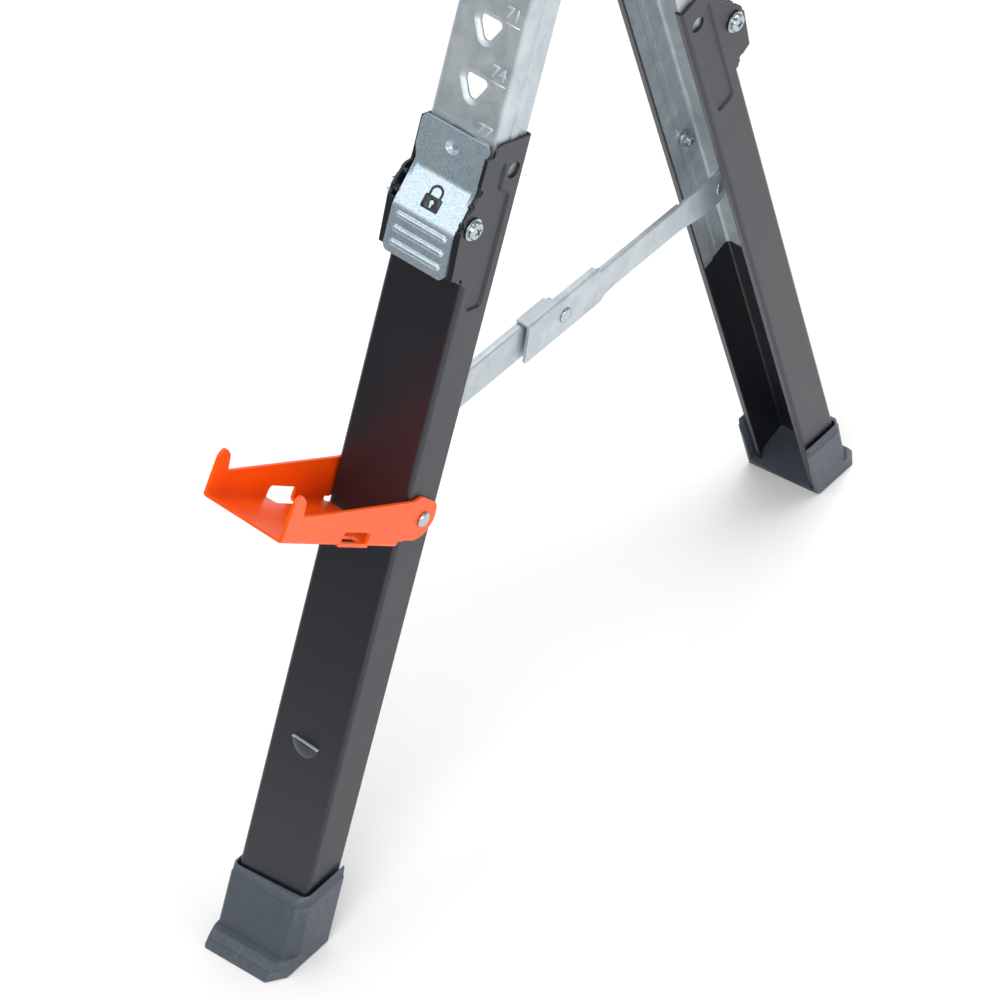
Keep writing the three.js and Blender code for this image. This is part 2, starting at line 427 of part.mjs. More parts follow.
function hangerSolid(sx, side) {
  // saddle under the beam: cheeks outside the beam walls carry the frame pin
  const xp = xPin(side), zp = zPin(side);
  const y0 = BEAM_W / 2 + 0.4, y1 = y0 + 3;
  const near = side > 0 ? xp - 15 : xp - 66;    // measured from the middle, along sx
  const far = side > 0 ? xp + 66 : xp + 15;
  const lugA = xp - 13, lugB = xp + 13;
  const out = side > 0
    ? [[near, 757, 6], [near, zp - 4, 8], [lugA + 4, zp - 12.5, 6], [lugB + 6, zp - 12.5, 8], [far, zp - 8, 10], [far, 757, 6]]
    : [[near, 757, 6], [near, BEAM_BOTTOM - 2.8, 0], [xp - 27, BEAM_BOTTOM - 2.8, 4], [xp - 27, zp + 4, 4], [xp - 25, zp - 13, 7], [lugB - 4, zp - 13, 6], [far, zp - 4, 8], [far, 757, 6]];
  const pts = rounded(out.map(([x, z, r]) => [sx * x, z, r]), 0, 3);
  let s = null;
  for (const q of [-1, 1]) {
    const m = q > 0 ? plate('ac', pts, -y1, -y0) : plate('ac', pts, y0, y1);
    s = s ? join(s, m) : m;
  }
  const bx0 = Math.min(sx * near, sx * far), bx1 = Math.max(sx * near, sx * far);
  s = join(s, box(bx0, -y1, BEAM_BOTTOM - 2.8, bx1, y1, BEAM_BOTTOM - 0.3));
  s = cut(s, cyl('b', 4.4, -60, 60, sx * xp, zp, 20));
  // latch plunger bore, on the -Y cheek
  const [lx, lz] = latchXZ(sx);
  s = cut(s, cyl('b', 3.4, -60, 0, lx, lz, 16));
  return s;
}
const latchXZ = sx => [sx * (GROUND_X - (HINGE_W + 14) * sR - latchA(sx) * cR), (HINGE_W + 14) * cR - latchA(sx) * sR];

function latchSolid(sx) {
  const [x, z] = latchXZ(sx);
  const y = -BEAM_W / 2;
  return join(cyl('b', 3.0, y - 24, y + 0.4, x, z, 14), cyl('b', 8.5, y - 30, y - 21, x, z, 20, 9.5),
    cyl('b', 5.5, y - 22, y - 14, x, z, 16));
}
function pinSolid(sx, side) {
  const x = sx * xPin(side), z = zPin(side), y = BEAM_W / 2 + 3.4;
  return join(cyl('b', 4.0, -y - 1.5, y + 1.5, x, z, 18), cyl('b', 7, y + 0.3, y + 2.6, x, z, 18, 5.5), cyl('b', 5.5, -y - 2.6, -y - 0.3, x, z, 18, 7));
}
function handleSolid() {
  // moulded strap handle on the -Y side wall
  const y = -BEAM_W / 2 - 0.4;
  const path = bent([[-78, y - 2.5], [-60, y - 2.5], [-48, y - 24], [48, y - 24], [60, y - 2.5], [78, y - 2.5]], 12, 4);
  let s = plate('ab', sheet(path, 5), 734, 758);
  return s;
}

// ---------- assembly ----------
const object = new THREE.Group();
function add(parent, name, solid, material) {
  const mesh = new THREE.Mesh(toGeometry(solid), material);
  mesh.name = name;
  parent.add(mesh);
  return mesh;
}
// mirror a solid's a and b axes to suit a corner
function mirrored(solid, ma, mb) {
  const g = toGeometry(solid);
  const p = g.getAttribute('position');
  for (let i = 0; i < p.count; i++) p.setXYZ(i, p.getX(i) * ma, p.getY(i) * mb, p.getZ(i));
  if (ma * mb < 0) {
    const ix = g.getIndex();
    for (let i = 0; i < ix.count; i += 3) { const t = ix.getX(i); ix.setX(i, ix.getX(i + 1)); ix.setX(i + 1, t); }
  }
  return g;
}
function addGeo(parent, name, geo, material) {
  const mesh = new THREE.Mesh(geo, material);
  mesh.name = name;
  parent.add(mesh);
}

const shared = { sleeve: sleeveSolid(false), sleeveS: sleeveSolid(true), lever: leverSolid(), bolt: leverBoltSolid(), spring: springSolid(),
  guide: guideBoltSolid(), hinge: hingeBoltSolid(), bracket: bracketSolid(), foot: footSolid() };

for (const sx of [-1, 1]) {
  const E = sx < 0 ? 'w' : 'e';                 // west end (-X), east end (+X)
  const side = sx < 0 ? -1 : 1;                 // west frame pin outboard, east frame pin inboard
  // tilted end frame: local x = -sx * a, local y = Y, local z = w
  const frame = new THREE.Group();
  frame.rotation.y = -sx * RAKE * rad;
  frame.position.set(sx * GROUND_X, 0, 0);
  object.add(frame);

  add(frame, `yoke_${E}`, cutMirror(yokeSolid(side), sx), GALV());
  addGeo(frame, `spreader_bar_front_${E}`, mirrored(linkOuterSolid().translate([0, 0, PIV_W]), -sx, 1), GALV());
  addGeo(frame, `spreader_bar_back_${E}`, mirrored(linkInnerSolid().translate([0, 0, PIV_W]), -sx, 1), GALV());
  addGeo(frame, `spreader_rivet_${E}`, mirrored(midRivetSolid().translate([0, 0, PIV_W]), -sx, 1), BRIGHT());

  for (const sy of [-1, 1]) {
    const L = `${E}${sy < 0 ? 's' : 'n'}`;      // corner: south is -Y, north is +Y
    const leg = new THREE.Group();
    leg.position.set(0, sy * FOOT_SPREAD, 0);
    leg.rotation.x = sy * SPLAY * rad;
    frame.add(leg);
    const M = g => mirrored(g, -sx, -sy);
    TAB_HI = sy > 0 ? -0.4 : -4.6;
    const inner = innerLegSolid();
    addGeo(leg, `inner_leg_${L}`, M(inner), GALV());
    addGeo(leg, `sleeve_${L}`, M(sy < 0 ? shared.sleeveS : shared.sleeve), BLACK());
    addGeo(leg, `cam_lever_${L}`, M(shared.lever), ZINC());
    addGeo(leg, `lever_bolt_${L}`, M(shared.bolt), BRIGHT());
    addGeo(leg, `lever_spring_${L}`, M(shared.spring), BRIGHT());
    addGeo(leg, `guide_bolt_${L}`, M(shared.guide), BRIGHT());
    addGeo(leg, `hinge_bolt_${L}`, M(shared.hinge), BRIGHT());
    addGeo(leg, `spreader_pin_${L}`, M(pivotRivetSolid(sy > 0 ? -2.4 : -6.6, sy > 0 ? 1.8 : -2.4)
      .translate([0, SPREAD_B, SPREAD_C])), BRIGHT());
    if (sy < 0) {
      addGeo(leg, `board_bracket_${E}`, M(shared.bracket), ORANGE());
      addGeo(leg, `bracket_rivet_${E}_in`, M(bracketRivetSolid(1)), BRIGHT());
      addGeo(leg, `bracket_rivet_${E}_out`, M(bracketRivetSolid(-1)), BRIGHT());
    }
    // foot: level sole and rim, sleeve socket along the leg
    const T = legMatrix();
    const socket = footSocket().transform(T.elements);
    const foot = cut(shared.foot, socket);
    addGeo(object, `foot_${L}`, mirroredFoot(foot, sx, sy), RUBBER());
  }
}

// leg axes seen from the floor axes of a corner: a inboard, y inwards, z up
function legMatrix() {
  const n = [cR, 0, -sR], w = [sR, 0, cR];
  const u = [cT * w[0], sT, cT * w[2]];
  const m = [-sT * w[0], cT, -sT * w[2]];
  return new THREE.Matrix4().set(n[0], m[0], u[0], 0, n[1], m[1], u[1], 0, n[2], m[2], u[2], 0, 0, 0, 0, 1);
}
function mirroredFoot(solid, sx, sy) {
  const g = mirrored(solid, -sx, -sy);
  g.translate(sx * GROUND_X, sy * FOOT_SPREAD, 0);
  return g;
}
function cutMirror(solid, sx) {
  const g = mirrored(solid, -sx, 1);
  return toSolid(g);
}

for (const sx of [-1, 1]) {
  const E = sx < 0 ? 'w' : 'e', side = sx < 0 ? -1 : 1;
  add(object, `hanger_${E}`, hangerSolid(sx, side), BLACK());
  add(object, `frame_pin_${E}`, pinSolid(sx, side), BRIGHT());
  add(object, `latch_plunger_${E}`, latchSolid(sx), RUBBER());
  add(object, `end_cap_${E}`, endCapSolid(sx), RUBBER());
}
add(object, 'beam', beamSolid(), BLACK());
add(object, 'carry_handle', handleSolid(), RUBBER());

export default object;
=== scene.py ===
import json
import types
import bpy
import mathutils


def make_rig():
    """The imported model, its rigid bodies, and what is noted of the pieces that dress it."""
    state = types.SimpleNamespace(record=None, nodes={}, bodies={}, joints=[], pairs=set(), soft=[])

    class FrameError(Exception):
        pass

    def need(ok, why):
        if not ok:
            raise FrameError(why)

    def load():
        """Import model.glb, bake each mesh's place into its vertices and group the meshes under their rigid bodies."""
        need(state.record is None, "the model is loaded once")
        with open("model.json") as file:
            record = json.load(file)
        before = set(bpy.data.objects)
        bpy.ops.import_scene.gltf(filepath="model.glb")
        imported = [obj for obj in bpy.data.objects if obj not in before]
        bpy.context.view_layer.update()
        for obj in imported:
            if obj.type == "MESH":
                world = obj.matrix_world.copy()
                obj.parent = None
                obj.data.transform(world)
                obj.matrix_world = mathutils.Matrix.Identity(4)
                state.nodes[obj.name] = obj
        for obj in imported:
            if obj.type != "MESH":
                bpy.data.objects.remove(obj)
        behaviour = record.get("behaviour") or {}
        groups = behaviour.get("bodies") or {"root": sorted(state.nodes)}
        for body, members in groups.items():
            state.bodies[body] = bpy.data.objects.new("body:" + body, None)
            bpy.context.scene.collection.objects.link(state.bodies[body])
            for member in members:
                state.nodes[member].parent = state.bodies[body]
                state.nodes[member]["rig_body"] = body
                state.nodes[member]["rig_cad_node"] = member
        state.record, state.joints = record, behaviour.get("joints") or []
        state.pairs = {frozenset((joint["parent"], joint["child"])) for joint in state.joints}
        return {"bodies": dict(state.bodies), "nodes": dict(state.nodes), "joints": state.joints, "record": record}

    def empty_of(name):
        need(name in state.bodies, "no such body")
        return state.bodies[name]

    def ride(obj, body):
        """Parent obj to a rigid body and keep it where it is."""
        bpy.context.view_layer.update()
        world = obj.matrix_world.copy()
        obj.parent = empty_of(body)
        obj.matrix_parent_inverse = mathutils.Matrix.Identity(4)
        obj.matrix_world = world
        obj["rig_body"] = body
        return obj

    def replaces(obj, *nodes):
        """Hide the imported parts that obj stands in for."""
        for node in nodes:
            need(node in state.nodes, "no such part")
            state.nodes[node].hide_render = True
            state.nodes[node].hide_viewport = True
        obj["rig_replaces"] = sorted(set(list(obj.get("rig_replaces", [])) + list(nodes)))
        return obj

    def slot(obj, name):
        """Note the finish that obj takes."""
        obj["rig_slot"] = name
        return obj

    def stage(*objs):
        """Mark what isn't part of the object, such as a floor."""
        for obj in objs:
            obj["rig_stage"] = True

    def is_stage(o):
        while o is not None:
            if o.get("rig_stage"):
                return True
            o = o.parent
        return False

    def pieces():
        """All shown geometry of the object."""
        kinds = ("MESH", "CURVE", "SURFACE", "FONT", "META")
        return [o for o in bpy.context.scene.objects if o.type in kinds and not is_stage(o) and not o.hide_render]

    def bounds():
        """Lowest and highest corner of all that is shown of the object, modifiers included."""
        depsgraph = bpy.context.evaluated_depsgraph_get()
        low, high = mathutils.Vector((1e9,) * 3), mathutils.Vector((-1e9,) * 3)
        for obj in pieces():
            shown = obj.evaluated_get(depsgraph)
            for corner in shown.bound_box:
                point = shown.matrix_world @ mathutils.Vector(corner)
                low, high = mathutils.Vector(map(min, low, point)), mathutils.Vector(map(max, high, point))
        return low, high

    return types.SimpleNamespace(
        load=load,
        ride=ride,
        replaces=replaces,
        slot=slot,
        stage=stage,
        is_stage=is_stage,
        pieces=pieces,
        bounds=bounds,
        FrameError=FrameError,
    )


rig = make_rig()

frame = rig.load()

import bpy, bmesh, json, math
from mathutils import Matrix, Vector

CAD_BOX = [list(v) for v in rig.bounds()]
bpy.context.scene.view_settings.view_transform = "Standard"

# ---------------------------------------------------------------- dimensions (mm), as in the CAD
SPLAY, RAKE, SPREAD = 19.4, 7.8, 260.0
HINGE_X, HINGE_Y, HINGE_B = 435.0, 21.0, 13.0
HW, D, T, LIP = 24.0, 28.0, 1.5, 5.0
WEB_TOP, TOP, BOTTOM = 442.0, 523.0, 14.0
INNER_H, INNER_BOTTOM = 22.2, 236.0
PITCH, LOCK_C = 32.1, 511.5
LEVER_C, LEVER_B = 478.0, -5.3
SPREAD_C, SPREAD_B = 327.6, 15.7
BR_C, BR_B, BR_RISE = 300.0, 15.0, 20.3
rad = math.radians
cT, sT, cR, sR = math.cos(rad(SPLAY)), math.sin(rad(SPLAY)), math.cos(rad(RAKE)), math.sin(rad(RAKE))
HINGE_C = (SPREAD - HINGE_Y - HINGE_B * cT) / sT
HINGE_W = HINGE_C * cT - HINGE_B * sT
GROUND_X = HINGE_X + HINGE_W * sR
PIV_Y = SPREAD - SPREAD_C * sT - SPREAD_B * cT
PIV_W = SPREAD_C * cT - SPREAD_B * sT


def frame_matrix(sx):
    """end-frame coordinates (a, y, w) in mm to the object's metres"""
    ph = -sx * rad(RAKE)
    return (Matrix.Scale(0.001, 4) @ Matrix.Translation((sx * GROUND_X, 0, 0)) @ Matrix.Rotation(ph, 4, "Y")
            @ Matrix.Diagonal((-sx, 1, 1, 1)))


def leg_matrix(sx, sy):
    """leg coordinates (a, b, c) in mm to the object's metres"""
    ph = -sx * rad(RAKE)
    return (Matrix.Scale(0.001, 4) @ Matrix.Translation((sx * GROUND_X, 0, 0)) @ Matrix.Rotation(ph, 4, "Y")
            @ Matrix.Translation((0, sy * SPREAD, 0)) @ Matrix.Rotation(sy * rad(SPLAY), 4, "X")
            @ Matrix.Diagonal((-sx, -sy, 1, 1)))


def floor_matrix(sx, sy):
    """floor coordinates of a corner (a inboard, y inwards, z up) in mm to metres"""
    return (Matrix.Scale(0.001, 4) @ Matrix.Translation((sx * GROUND_X, sy * SPREAD, 0))
            @ Matrix.Diagonal((-sx, -sy, 1, 1)))


# ---------------------------------------------------------------- mesh helpers
def place(plane, u, v, d):
    return {"ab": (u, v, d), "bc": (d, u, v), "ac": (u, d, v)}[plane]


def to_mesh(bm, name="m"):
    bmesh.ops.recalc_face_normals(bm, faces=bm.faces)
    me = bpy.data.meshes.new(name)
    bm.to_mesh(me)
    bm.free()
    return me


def loft(rings):
    """closed solid through rings of equal length, capped at both ends"""
    bm = bmesh.new()
    R = [[bm.verts.new(p) for p in r] for r in rings]
    n = len(R[0])
    for a, b in zip(R, R[1:]):
        for i in range(n):
            bm.faces.new((a[i], a[(i + 1) % n], b[(i + 1) % n], b[i]))
    bm.faces.new(R[0][::-1])
    bm.faces.new(R[-1])
    return to_mesh(bm)


def prism(plane, pts, lo, hi):
    return loft([[place(plane, u, v, lo) for u, v in pts], [place(plane, u, v, hi) for u, v in pts]])


def taper(plane, p0, d0, p1, d1):
    return loft([[place(plane, u, v, d0) for u, v in p0], [place(plane, u, v, d1) for u, v in p1]])


def box(x0, y0, z0, x1, y1, z1):
    return prism("ab", [(x0, y0), (x1, y0), (x1, y1), (x0, y1)], z0, z1)


def circle(u, v, r, n=32, ph=0.0, ru=None):
    return [(u + (ru or r) * math.cos(2 * math.pi * k / n + ph), v + r * math.sin(2 * math.pi * k / n + ph)) for k in range(n)]


def turned(axis, prof, u, v, n=40):
    """solid of revolution about a line along axis through (u, v); prof is [(position along axis, radius)]"""
    plane = {"a": "bc", "c": "ab", "b": "ac"}[axis]
    rings = []
    for d, r in prof:
        rings.append([place(plane, *p, d) for p in circle(u, v, max(r, 0.02), n)])
    return loft(rings)


def rounded(pts, r=0.0, n=6):
    out, N = [], len(pts)
    for i, q in enumerate(pts):
        p = Vector(q[:2])
        ri = q[2] if len(q) > 2 else r
        if ri <= 0:
            out.append((p.x, p.y))
            continue
        a = Vector(pts[i - 1][:2]) - p
        b = Vector(pts[(i + 1) % N][:2]) - p
        la, lb = a.length, b.length
        a.normalize(); b.normalize()
        ang = math.acos(max(-1, min(1, a.dot(b))))
        if ang > math.pi - 1e-3:
            out.append((p.x, p.y))
            continue
        d = min(ri / math.tan(ang / 2), la * 0.49, lb * 0.49)
        rr = d * math.tan(ang / 2)
        c = p + (a + b).normalized() * (rr / math.sin(ang / 2))
        s, e = p + a * d - c, p + b * d - c
        t0 = math.atan2(s.y, s.x)
        dt = math.atan2(e.y, e.x) - t0
        while dt > math.pi: dt -= 2 * math.pi
        while dt < -math.pi: dt += 2 * math.pi
        for k in range(n + 1):
            t = t0 + dt * k / n
            out.append((c.x + rr * math.cos(t), c.y + rr * math.sin(t)))
    return out


def bent(pts, r, n=8):
    out = [tuple(pts[0])]
    for i in range(1, len(pts) - 1):
        tri = rounded([tuple(pts[i - 1]) + (0,), tuple(pts[i]) + (r,), tuple(pts[i + 1]) + (0,)], 0, n)
        out += tri[1:-1]
    return out + [tuple(pts[-1])]


def sheet(path, t):
    L, R = [], []
    for i, q in enumerate(path):
        p = Vector(q)
        d0 = (p - Vector(path[i - 1])).normalized() if i else None
        d1 = (Vector(path[i + 1]) - p).normalized() if i < len(path) - 1 else None
        d = (d0 + d1).normalized() if d0 and d1 else (d0 or d1)
        k = 1 / max(0.3, d.dot(d0)) if d0 and d1 else 1
        nrm = Vector((-d.y, d.x)) * (t / 2 * k)
        L.append((p.x + nrm.x, p.y + nrm.y))
        R.append((p.x - nrm.x, p.y - nrm.y))
    return L + R[::-1]


def grow(pts, d):
    """outline moved outwards by d (corners mitred)"""
    N = len(pts)
    area = sum(pts[i][0] * pts[(i + 1) % N][1] - pts[(i + 1) % N][0] * pts[i][1] for i in range(N))
    s = 1 if area > 0 else -1
    out = []
    for i in range(N):
        p, a, b = Vector(pts[i]), Vector(pts[i - 1]), Vector(pts[(i + 1) % N])
        e0, e1 = (p - a), (b - p)
        if e0.length < 1e-6 or e1.length < 1e-6:
            out.append(tuple(pts[i])); continue
        e0.normalize(); e1.normalize()
        n0, n1 = Vector((e0.y, -e0.x)) * s, Vector((e1.y, -e1.x)) * s
        m = (n0 + n1).normalized()
        k = d / max(0.35, m.dot(n0))
        out.append((p.x + m.x * k, p.y + m.y * k))
    return out


def temp(me):
    o = bpy.data.objects.new("tmp", me)
    bpy.context.scene.collection.objects.link(o)
    return o


def boolean(base, ops):
    """ops: [("cut"|"join"|"both", mesh)] applied in order; returns a new mesh"""
    b = temp(base)
    others = []
    for kind, me in ops:
        o = temp(me)
        others.append(o)
        m = b.modifiers.new("b", "BOOLEAN")
        m.operation = {"cut": "DIFFERENCE", "join": "UNION", "both": "INTERSECT"}[kind]
        m.object = o
        m.solver = SOLVER
    bpy.context.view_layer.update()
    dg = bpy.context.evaluated_depsgraph_get()
    me = bpy.data.meshes.new_from_object(b.evaluated_get(dg))
    for o in [b] + others:
        bpy.data.objects.remove(o)
    bm = bmesh.new()
    bm.from_mesh(me)
    bmesh.ops.remove_doubles(bm, verts=bm.verts, dist=0.004)
    bmesh.ops.dissolve_limit(bm, angle_limit=rad(0.6), verts=bm.verts, edges=bm.edges)
    bm.to_mesh(me)
    bm.free()
    return me


try:
    _o = temp(box(0, 0, 0, 1, 1, 1))
    _m = _o.modifiers.new("b", "BOOLEAN")
    _m.solver = "MANIFOLD"
    SOLVER = "MANIFOLD"
except Exception:
    SOLVER = "EXACT"
bpy.data.objects.remove(_o)


def merged(*meshes):
    bm = bmesh.new()
    for m in meshes:
        bm.from_mesh(m)
    me = bpy.data.meshes.new("m")
    bm.to_mesh(me)
    bm.free()
    return me


def mapped(me, f):
    me = me.copy()
    for v in me.vertices:
        v.co = f(v.co)
    return me


def piece(name, me, matrix, body, slot, mat, bevel=0.3, replaces=(), segs=2, angle=32):
    me = me.copy()
    me.transform(matrix)
    if matrix.determinant() < 0:
        me.flip_normals()
    me.name = name
    for p in me.polygons:
        p.use_smooth = True
    me.materials.clear()
    me.materials.append(mat)
    o = bpy.data.objects.new(name, me)
    bpy.context.scene.collection.objects.link(o)
    if bevel:
        m = o.modifiers.new("edge", "BEVEL")
        m.width = bevel / 1000
        m.segments = segs
        m.limit_method = "ANGLE"
        m.angle_limit = rad(angle)
        m.harden_normals = False
        m.miter_outer = "MITER_ARC"
        w = o.modifiers.new("normals", "WEIGHTED_NORMAL")
        w.keep_sharp = True
        w.weight = 100
    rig.ride(o, body)
    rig.slot(o, slot)
    if replaces:
        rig.replaces(o, *replaces)
    return o


# ---------------------------------------------------------------- materials
class Nodes:
    def __init__(self, name):
        self.m = bpy.data.materials.new(name)
        self.m.use_nodes = True
        self.t = self.m.node_tree
        self.b = self.t.nodes["Principled BSDF"]
        self.co = self.t.nodes.new("ShaderNodeTexCoord").outputs["Object"]

    def link(self, a, b): self.t.links.new(a, b)

    def mapping(self, scale=(1, 1, 1), rot=(0, 0, 0)):
        n = self.t.nodes.new("ShaderNodeMapping")
        n.inputs["Scale"].default_value = scale
        n.inputs["Rotation"].default_value = rot
        self.link(self.co, n.inputs["Vector"])
        return n.outputs[0]

    def noise(self, scale, detail=4, rough=0.5, dist=0.0, vec=None):
        n = self.t.nodes.new("ShaderNodeTexNoise")
        n.inputs["Scale"].default_value = scale
        n.inputs["Detail"].default_value = detail
        n.inputs["Roughness"].default_value = rough
        n.inputs["Distortion"].default_value = dist
        self.link(vec or self.co, n.inputs["Vector"])
        return n.outputs["Fac"]

    def voronoi(self, scale, vec=None, out="Color", feature="F1"):
        n = self.t.nodes.new("ShaderNodeTexVoronoi")
        n.feature = feature
        n.inputs["Scale"].default_value = scale
        self.link(vec or self.co, n.inputs["Vector"])
        return n.outputs[out]

    def ramp(self, fac, stops):
        n = self.t.nodes.new("ShaderNodeValToRGB")
        e = n.color_ramp.elements
        while len(e) < len(stops): e.new(0.5)
        for k, (p, c) in zip(e, stops):
            k.position = p
            k.color = tuple(c) + (1,) if len(c) == 3 else c
        self.link(fac, n.inputs[0])
        return n.outputs[0]

    def math(self, op, a, b):
        n = self.t.nodes.new("ShaderNodeMath")
        n.operation = op
        for i, v in enumerate((a, b)):
            if isinstance(v, (int, float)): n.inputs[i].default_value = v
            else: self.link(v, n.inputs[i])
        return n.outputs[0]

    def mix(self, fac, a, b, mode="MIX"):
        n = self.t.nodes.new("ShaderNodeMix")
        n.data_type = "RGBA"
        n.blend_type = mode
        for sock, v in ((n.inputs[0], fac), (n.inputs[6], a), (n.inputs[7], b)):
            if isinstance(v, (int, float)): sock.default_value = v
            elif isinstance(v, tuple): sock.default_value = v + (1,) if len(v) == 3 else v
            else: self.link(v, sock)
        return n.outputs[2]

    def remap(self, v, a, b):
        n = self.t.nodes.new("ShaderNodeMapRange")
        n.inputs["To Min"].default_value = a
        n.inputs["To Max"].default_value = b
        self.link(v, n.inputs["Value"])
        return n.outputs[0]

    def pointy(self):
        return self.t.nodes.new("ShaderNodeNewGeometry").outputs["Pointiness"]

    def set(self, **kw):
        for k, v in kw.items():
            s = self.b.inputs[k.replace("_", " ")]
            if isinstance(v, (int, float)): s.default_value = v
            elif isinstance(v, tuple): s.default_value = v + (1,) if len(v) == 3 else v
            else: self.link(v, s)

    def bump(self, *layers):
        prev = None
        for h, strength, dist in layers:
            n = self.t.nodes.new("ShaderNodeBump")
            n.inputs["Strength"].default_value = strength
            n.inputs["Distance"].default_value = dist
            self.link(h, n.inputs["Height"])
            if prev is not None: self.link(prev, n.inputs["Normal"])
            prev = n.outputs[0]
        self.link(prev, self.b.inputs["Normal"])


def black_paint():
    n = Nodes("black_powder_coat")
    peel = n.noise(620, 2, 0.5)
    fine = n.noise(2600, 2, 0.6)
    cloud = n.noise(9, 5, 0.6)
    scuff = n.ramp(n.noise(1.0, 8, 0.7, 1.5, n.mapping((60, 60, 900), (0.3, 0.1, 0.4))), [(0.62, (0, 0, 0)), (0.72, (1, 1, 1))])
    # in this coat the mask is real wear: lighter patches from noise alone
    wear_and_edge_highlight = n.ramp(n.noise(1.0, 6, 0.7, 0.8, n.mapping((500, 500, 70))), [(0.66, (0, 0, 0)), (0.74, (1, 1, 1))])
    base = n.ramp(cloud, [(0.3, (0.0060, 0.0070, 0.0100)), (0.7, (0.0085, 0.0096, 0.0134))])
    base = n.mix(n.math("MULTIPLY", scuff, 0.10), base, (0.045, 0.047, 0.052))
    base = n.mix(n.math("MULTIPLY", wear_and_edge_highlight, 0.12), base, (0.040, 0.042, 0.050))
    n.set(Base_Color=base, Metallic=0.0, Roughness=n.remap(n.noise(40, 5, 0.6), 0.37, 0.45))
    n.set(Specular_IOR_Level=0.70, Specular_Tint=(0.91, 0.94, 1.0), Coat_Weight=0.0)
    n.bump((peel, 0.05, 0.0004), (fine, 0.03, 0.0002))
    return n.m


def gloss_black():
    n = Nodes("gloss_black_pressing")
    g = n.noise(500, 3, 0.6)
    n.set(Base_Color=n.ramp(g, [(0.3, (0.012, 0.014, 0.018)), (0.7, (0.020, 0.023, 0.028))]), Roughness=n.remap(g, 0.07, 0.13))
    n.set(Specular_IOR_Level=0.45, Coat_Weight=0.15, Coat_Roughness=0.05, Coat_IOR=1.5)
    n.bump((g, 0.04, 0.0002))
    return n.m


def galvanised(name="galvanised_steel", k=1.0):
    n = Nodes(name)
    long = n.noise(1.0, 6, 0.55, 0.2, n.mapping((260, 260, 9)))
    span = n.voronoi(95, out="Color")
    bw = n.t.nodes.new("ShaderNodeRGBToBW")
    n.link(span, bw.inputs[0])
    mott = n.noise(70, 6, 0.65, 0.6)
    base = n.ramp(mott, [(p, tuple(min(0.95, k * v) for v in c)) for p, c in ((0.25, (0.36, 0.415, 0.445)), (0.5, (0.45, 0.505, 0.535)), (0.78, (0.55, 0.60, 0.63)))])
    base = n.mix(0.10, base, bw.outputs[0], "OVERLAY")
    base = n.mix(n.math("MULTIPLY", long, 0.18), base, (0.60, 0.65, 0.68))
    rough = n.math("ADD", n.remap(mott, 0.26, 0.44), n.math("MULTIPLY", long, 0.08))
    n.set(Base_Color=base, Metallic=0.52, Roughness=rough)
    n.bump((long, 0.06, 0.0003), (mott, 0.05, 0.0004))
    return n.m


def zinc_plate():
    n = Nodes("zinc_plated_lever")
    grain = n.noise(1500, 3, 0.75, 0.4)
    patch = n.noise(110, 5, 0.65, 0.8)
    base = n.ramp(grain, [(0.32, (0.16, 0.28, 0.42)), (0.50, (0.40, 0.53, 0.62)), (0.68, (0.72, 0.79, 0.82))])
    base = n.mix(n.ramp(patch, [(0.35, (0, 0, 0)), (0.7, (1, 1, 1))]), base, n.ramp(grain, [(0.3, (0.38, 0.46, 0.51)), (0.7, (0.64, 0.70, 0.72))]))
    n.set(Base_Color=base, Metallic=0.60, Roughness=n.remap(patch, 0.24, 0.38))
    n.bump((grain, 0.10, 0.0002), (patch, 0.03, 0.0006))
    return n.m


def bright_zinc():
    n = Nodes("bright_zinc_fastener")
    g = n.noise(900, 4, 0.6)
    ring = n.noise(1.0, 3, 0.5, 0.0, n.mapping((300, 2200, 2200)))
    n.set(Base_Color=n.ramp(g, [(0.3, (0.36, 0.42, 0.45)), (0.7, (0.58, 0.62, 0.64))]), Metallic=1.0, Roughness=n.remap(ring, 0.16, 0.32))
    n.bump((g, 0.05, 0.0002), (ring, 0.04, 0.0001))
    return n.m


def orange_paint():
    n = Nodes("orange_powder_coat")
    peel = n.noise(700, 2, 0.5)
    cloud = n.noise(30, 5, 0.6)
    # paler orange on convex edges, found by pointiness: a painted edge highlight, not wear
    wear_and_edge_highlight = n.ramp(n.math("ADD", n.pointy(), n.math("MULTIPLY", n.noise(220, 4, 0.6), 0.06)), [(0.57, (0, 0, 0)), (0.63, (1, 1, 1))])
    base = n.ramp(cloud, [(0.3, (0.93, 0.082, 0.0002)), (0.7, (0.96, 0.104, 0.0006))])
    base = n.mix(n.math("MULTIPLY", wear_and_edge_highlight, 0.25), base, (1.0, 0.30, 0.08))
    n.set(Base_Color=base, Metallic=0.0, Roughness=n.remap(n.noise(60, 4, 0.6), 0.30, 0.40), Specular_IOR_Level=0.38, Coat_Weight=0.10, Coat_Roughness=0.18)
    n.bump((peel, 0.05, 0.0004), (n.noise(2600, 2, 0.5), 0.02, 0.0002))
    return n.m


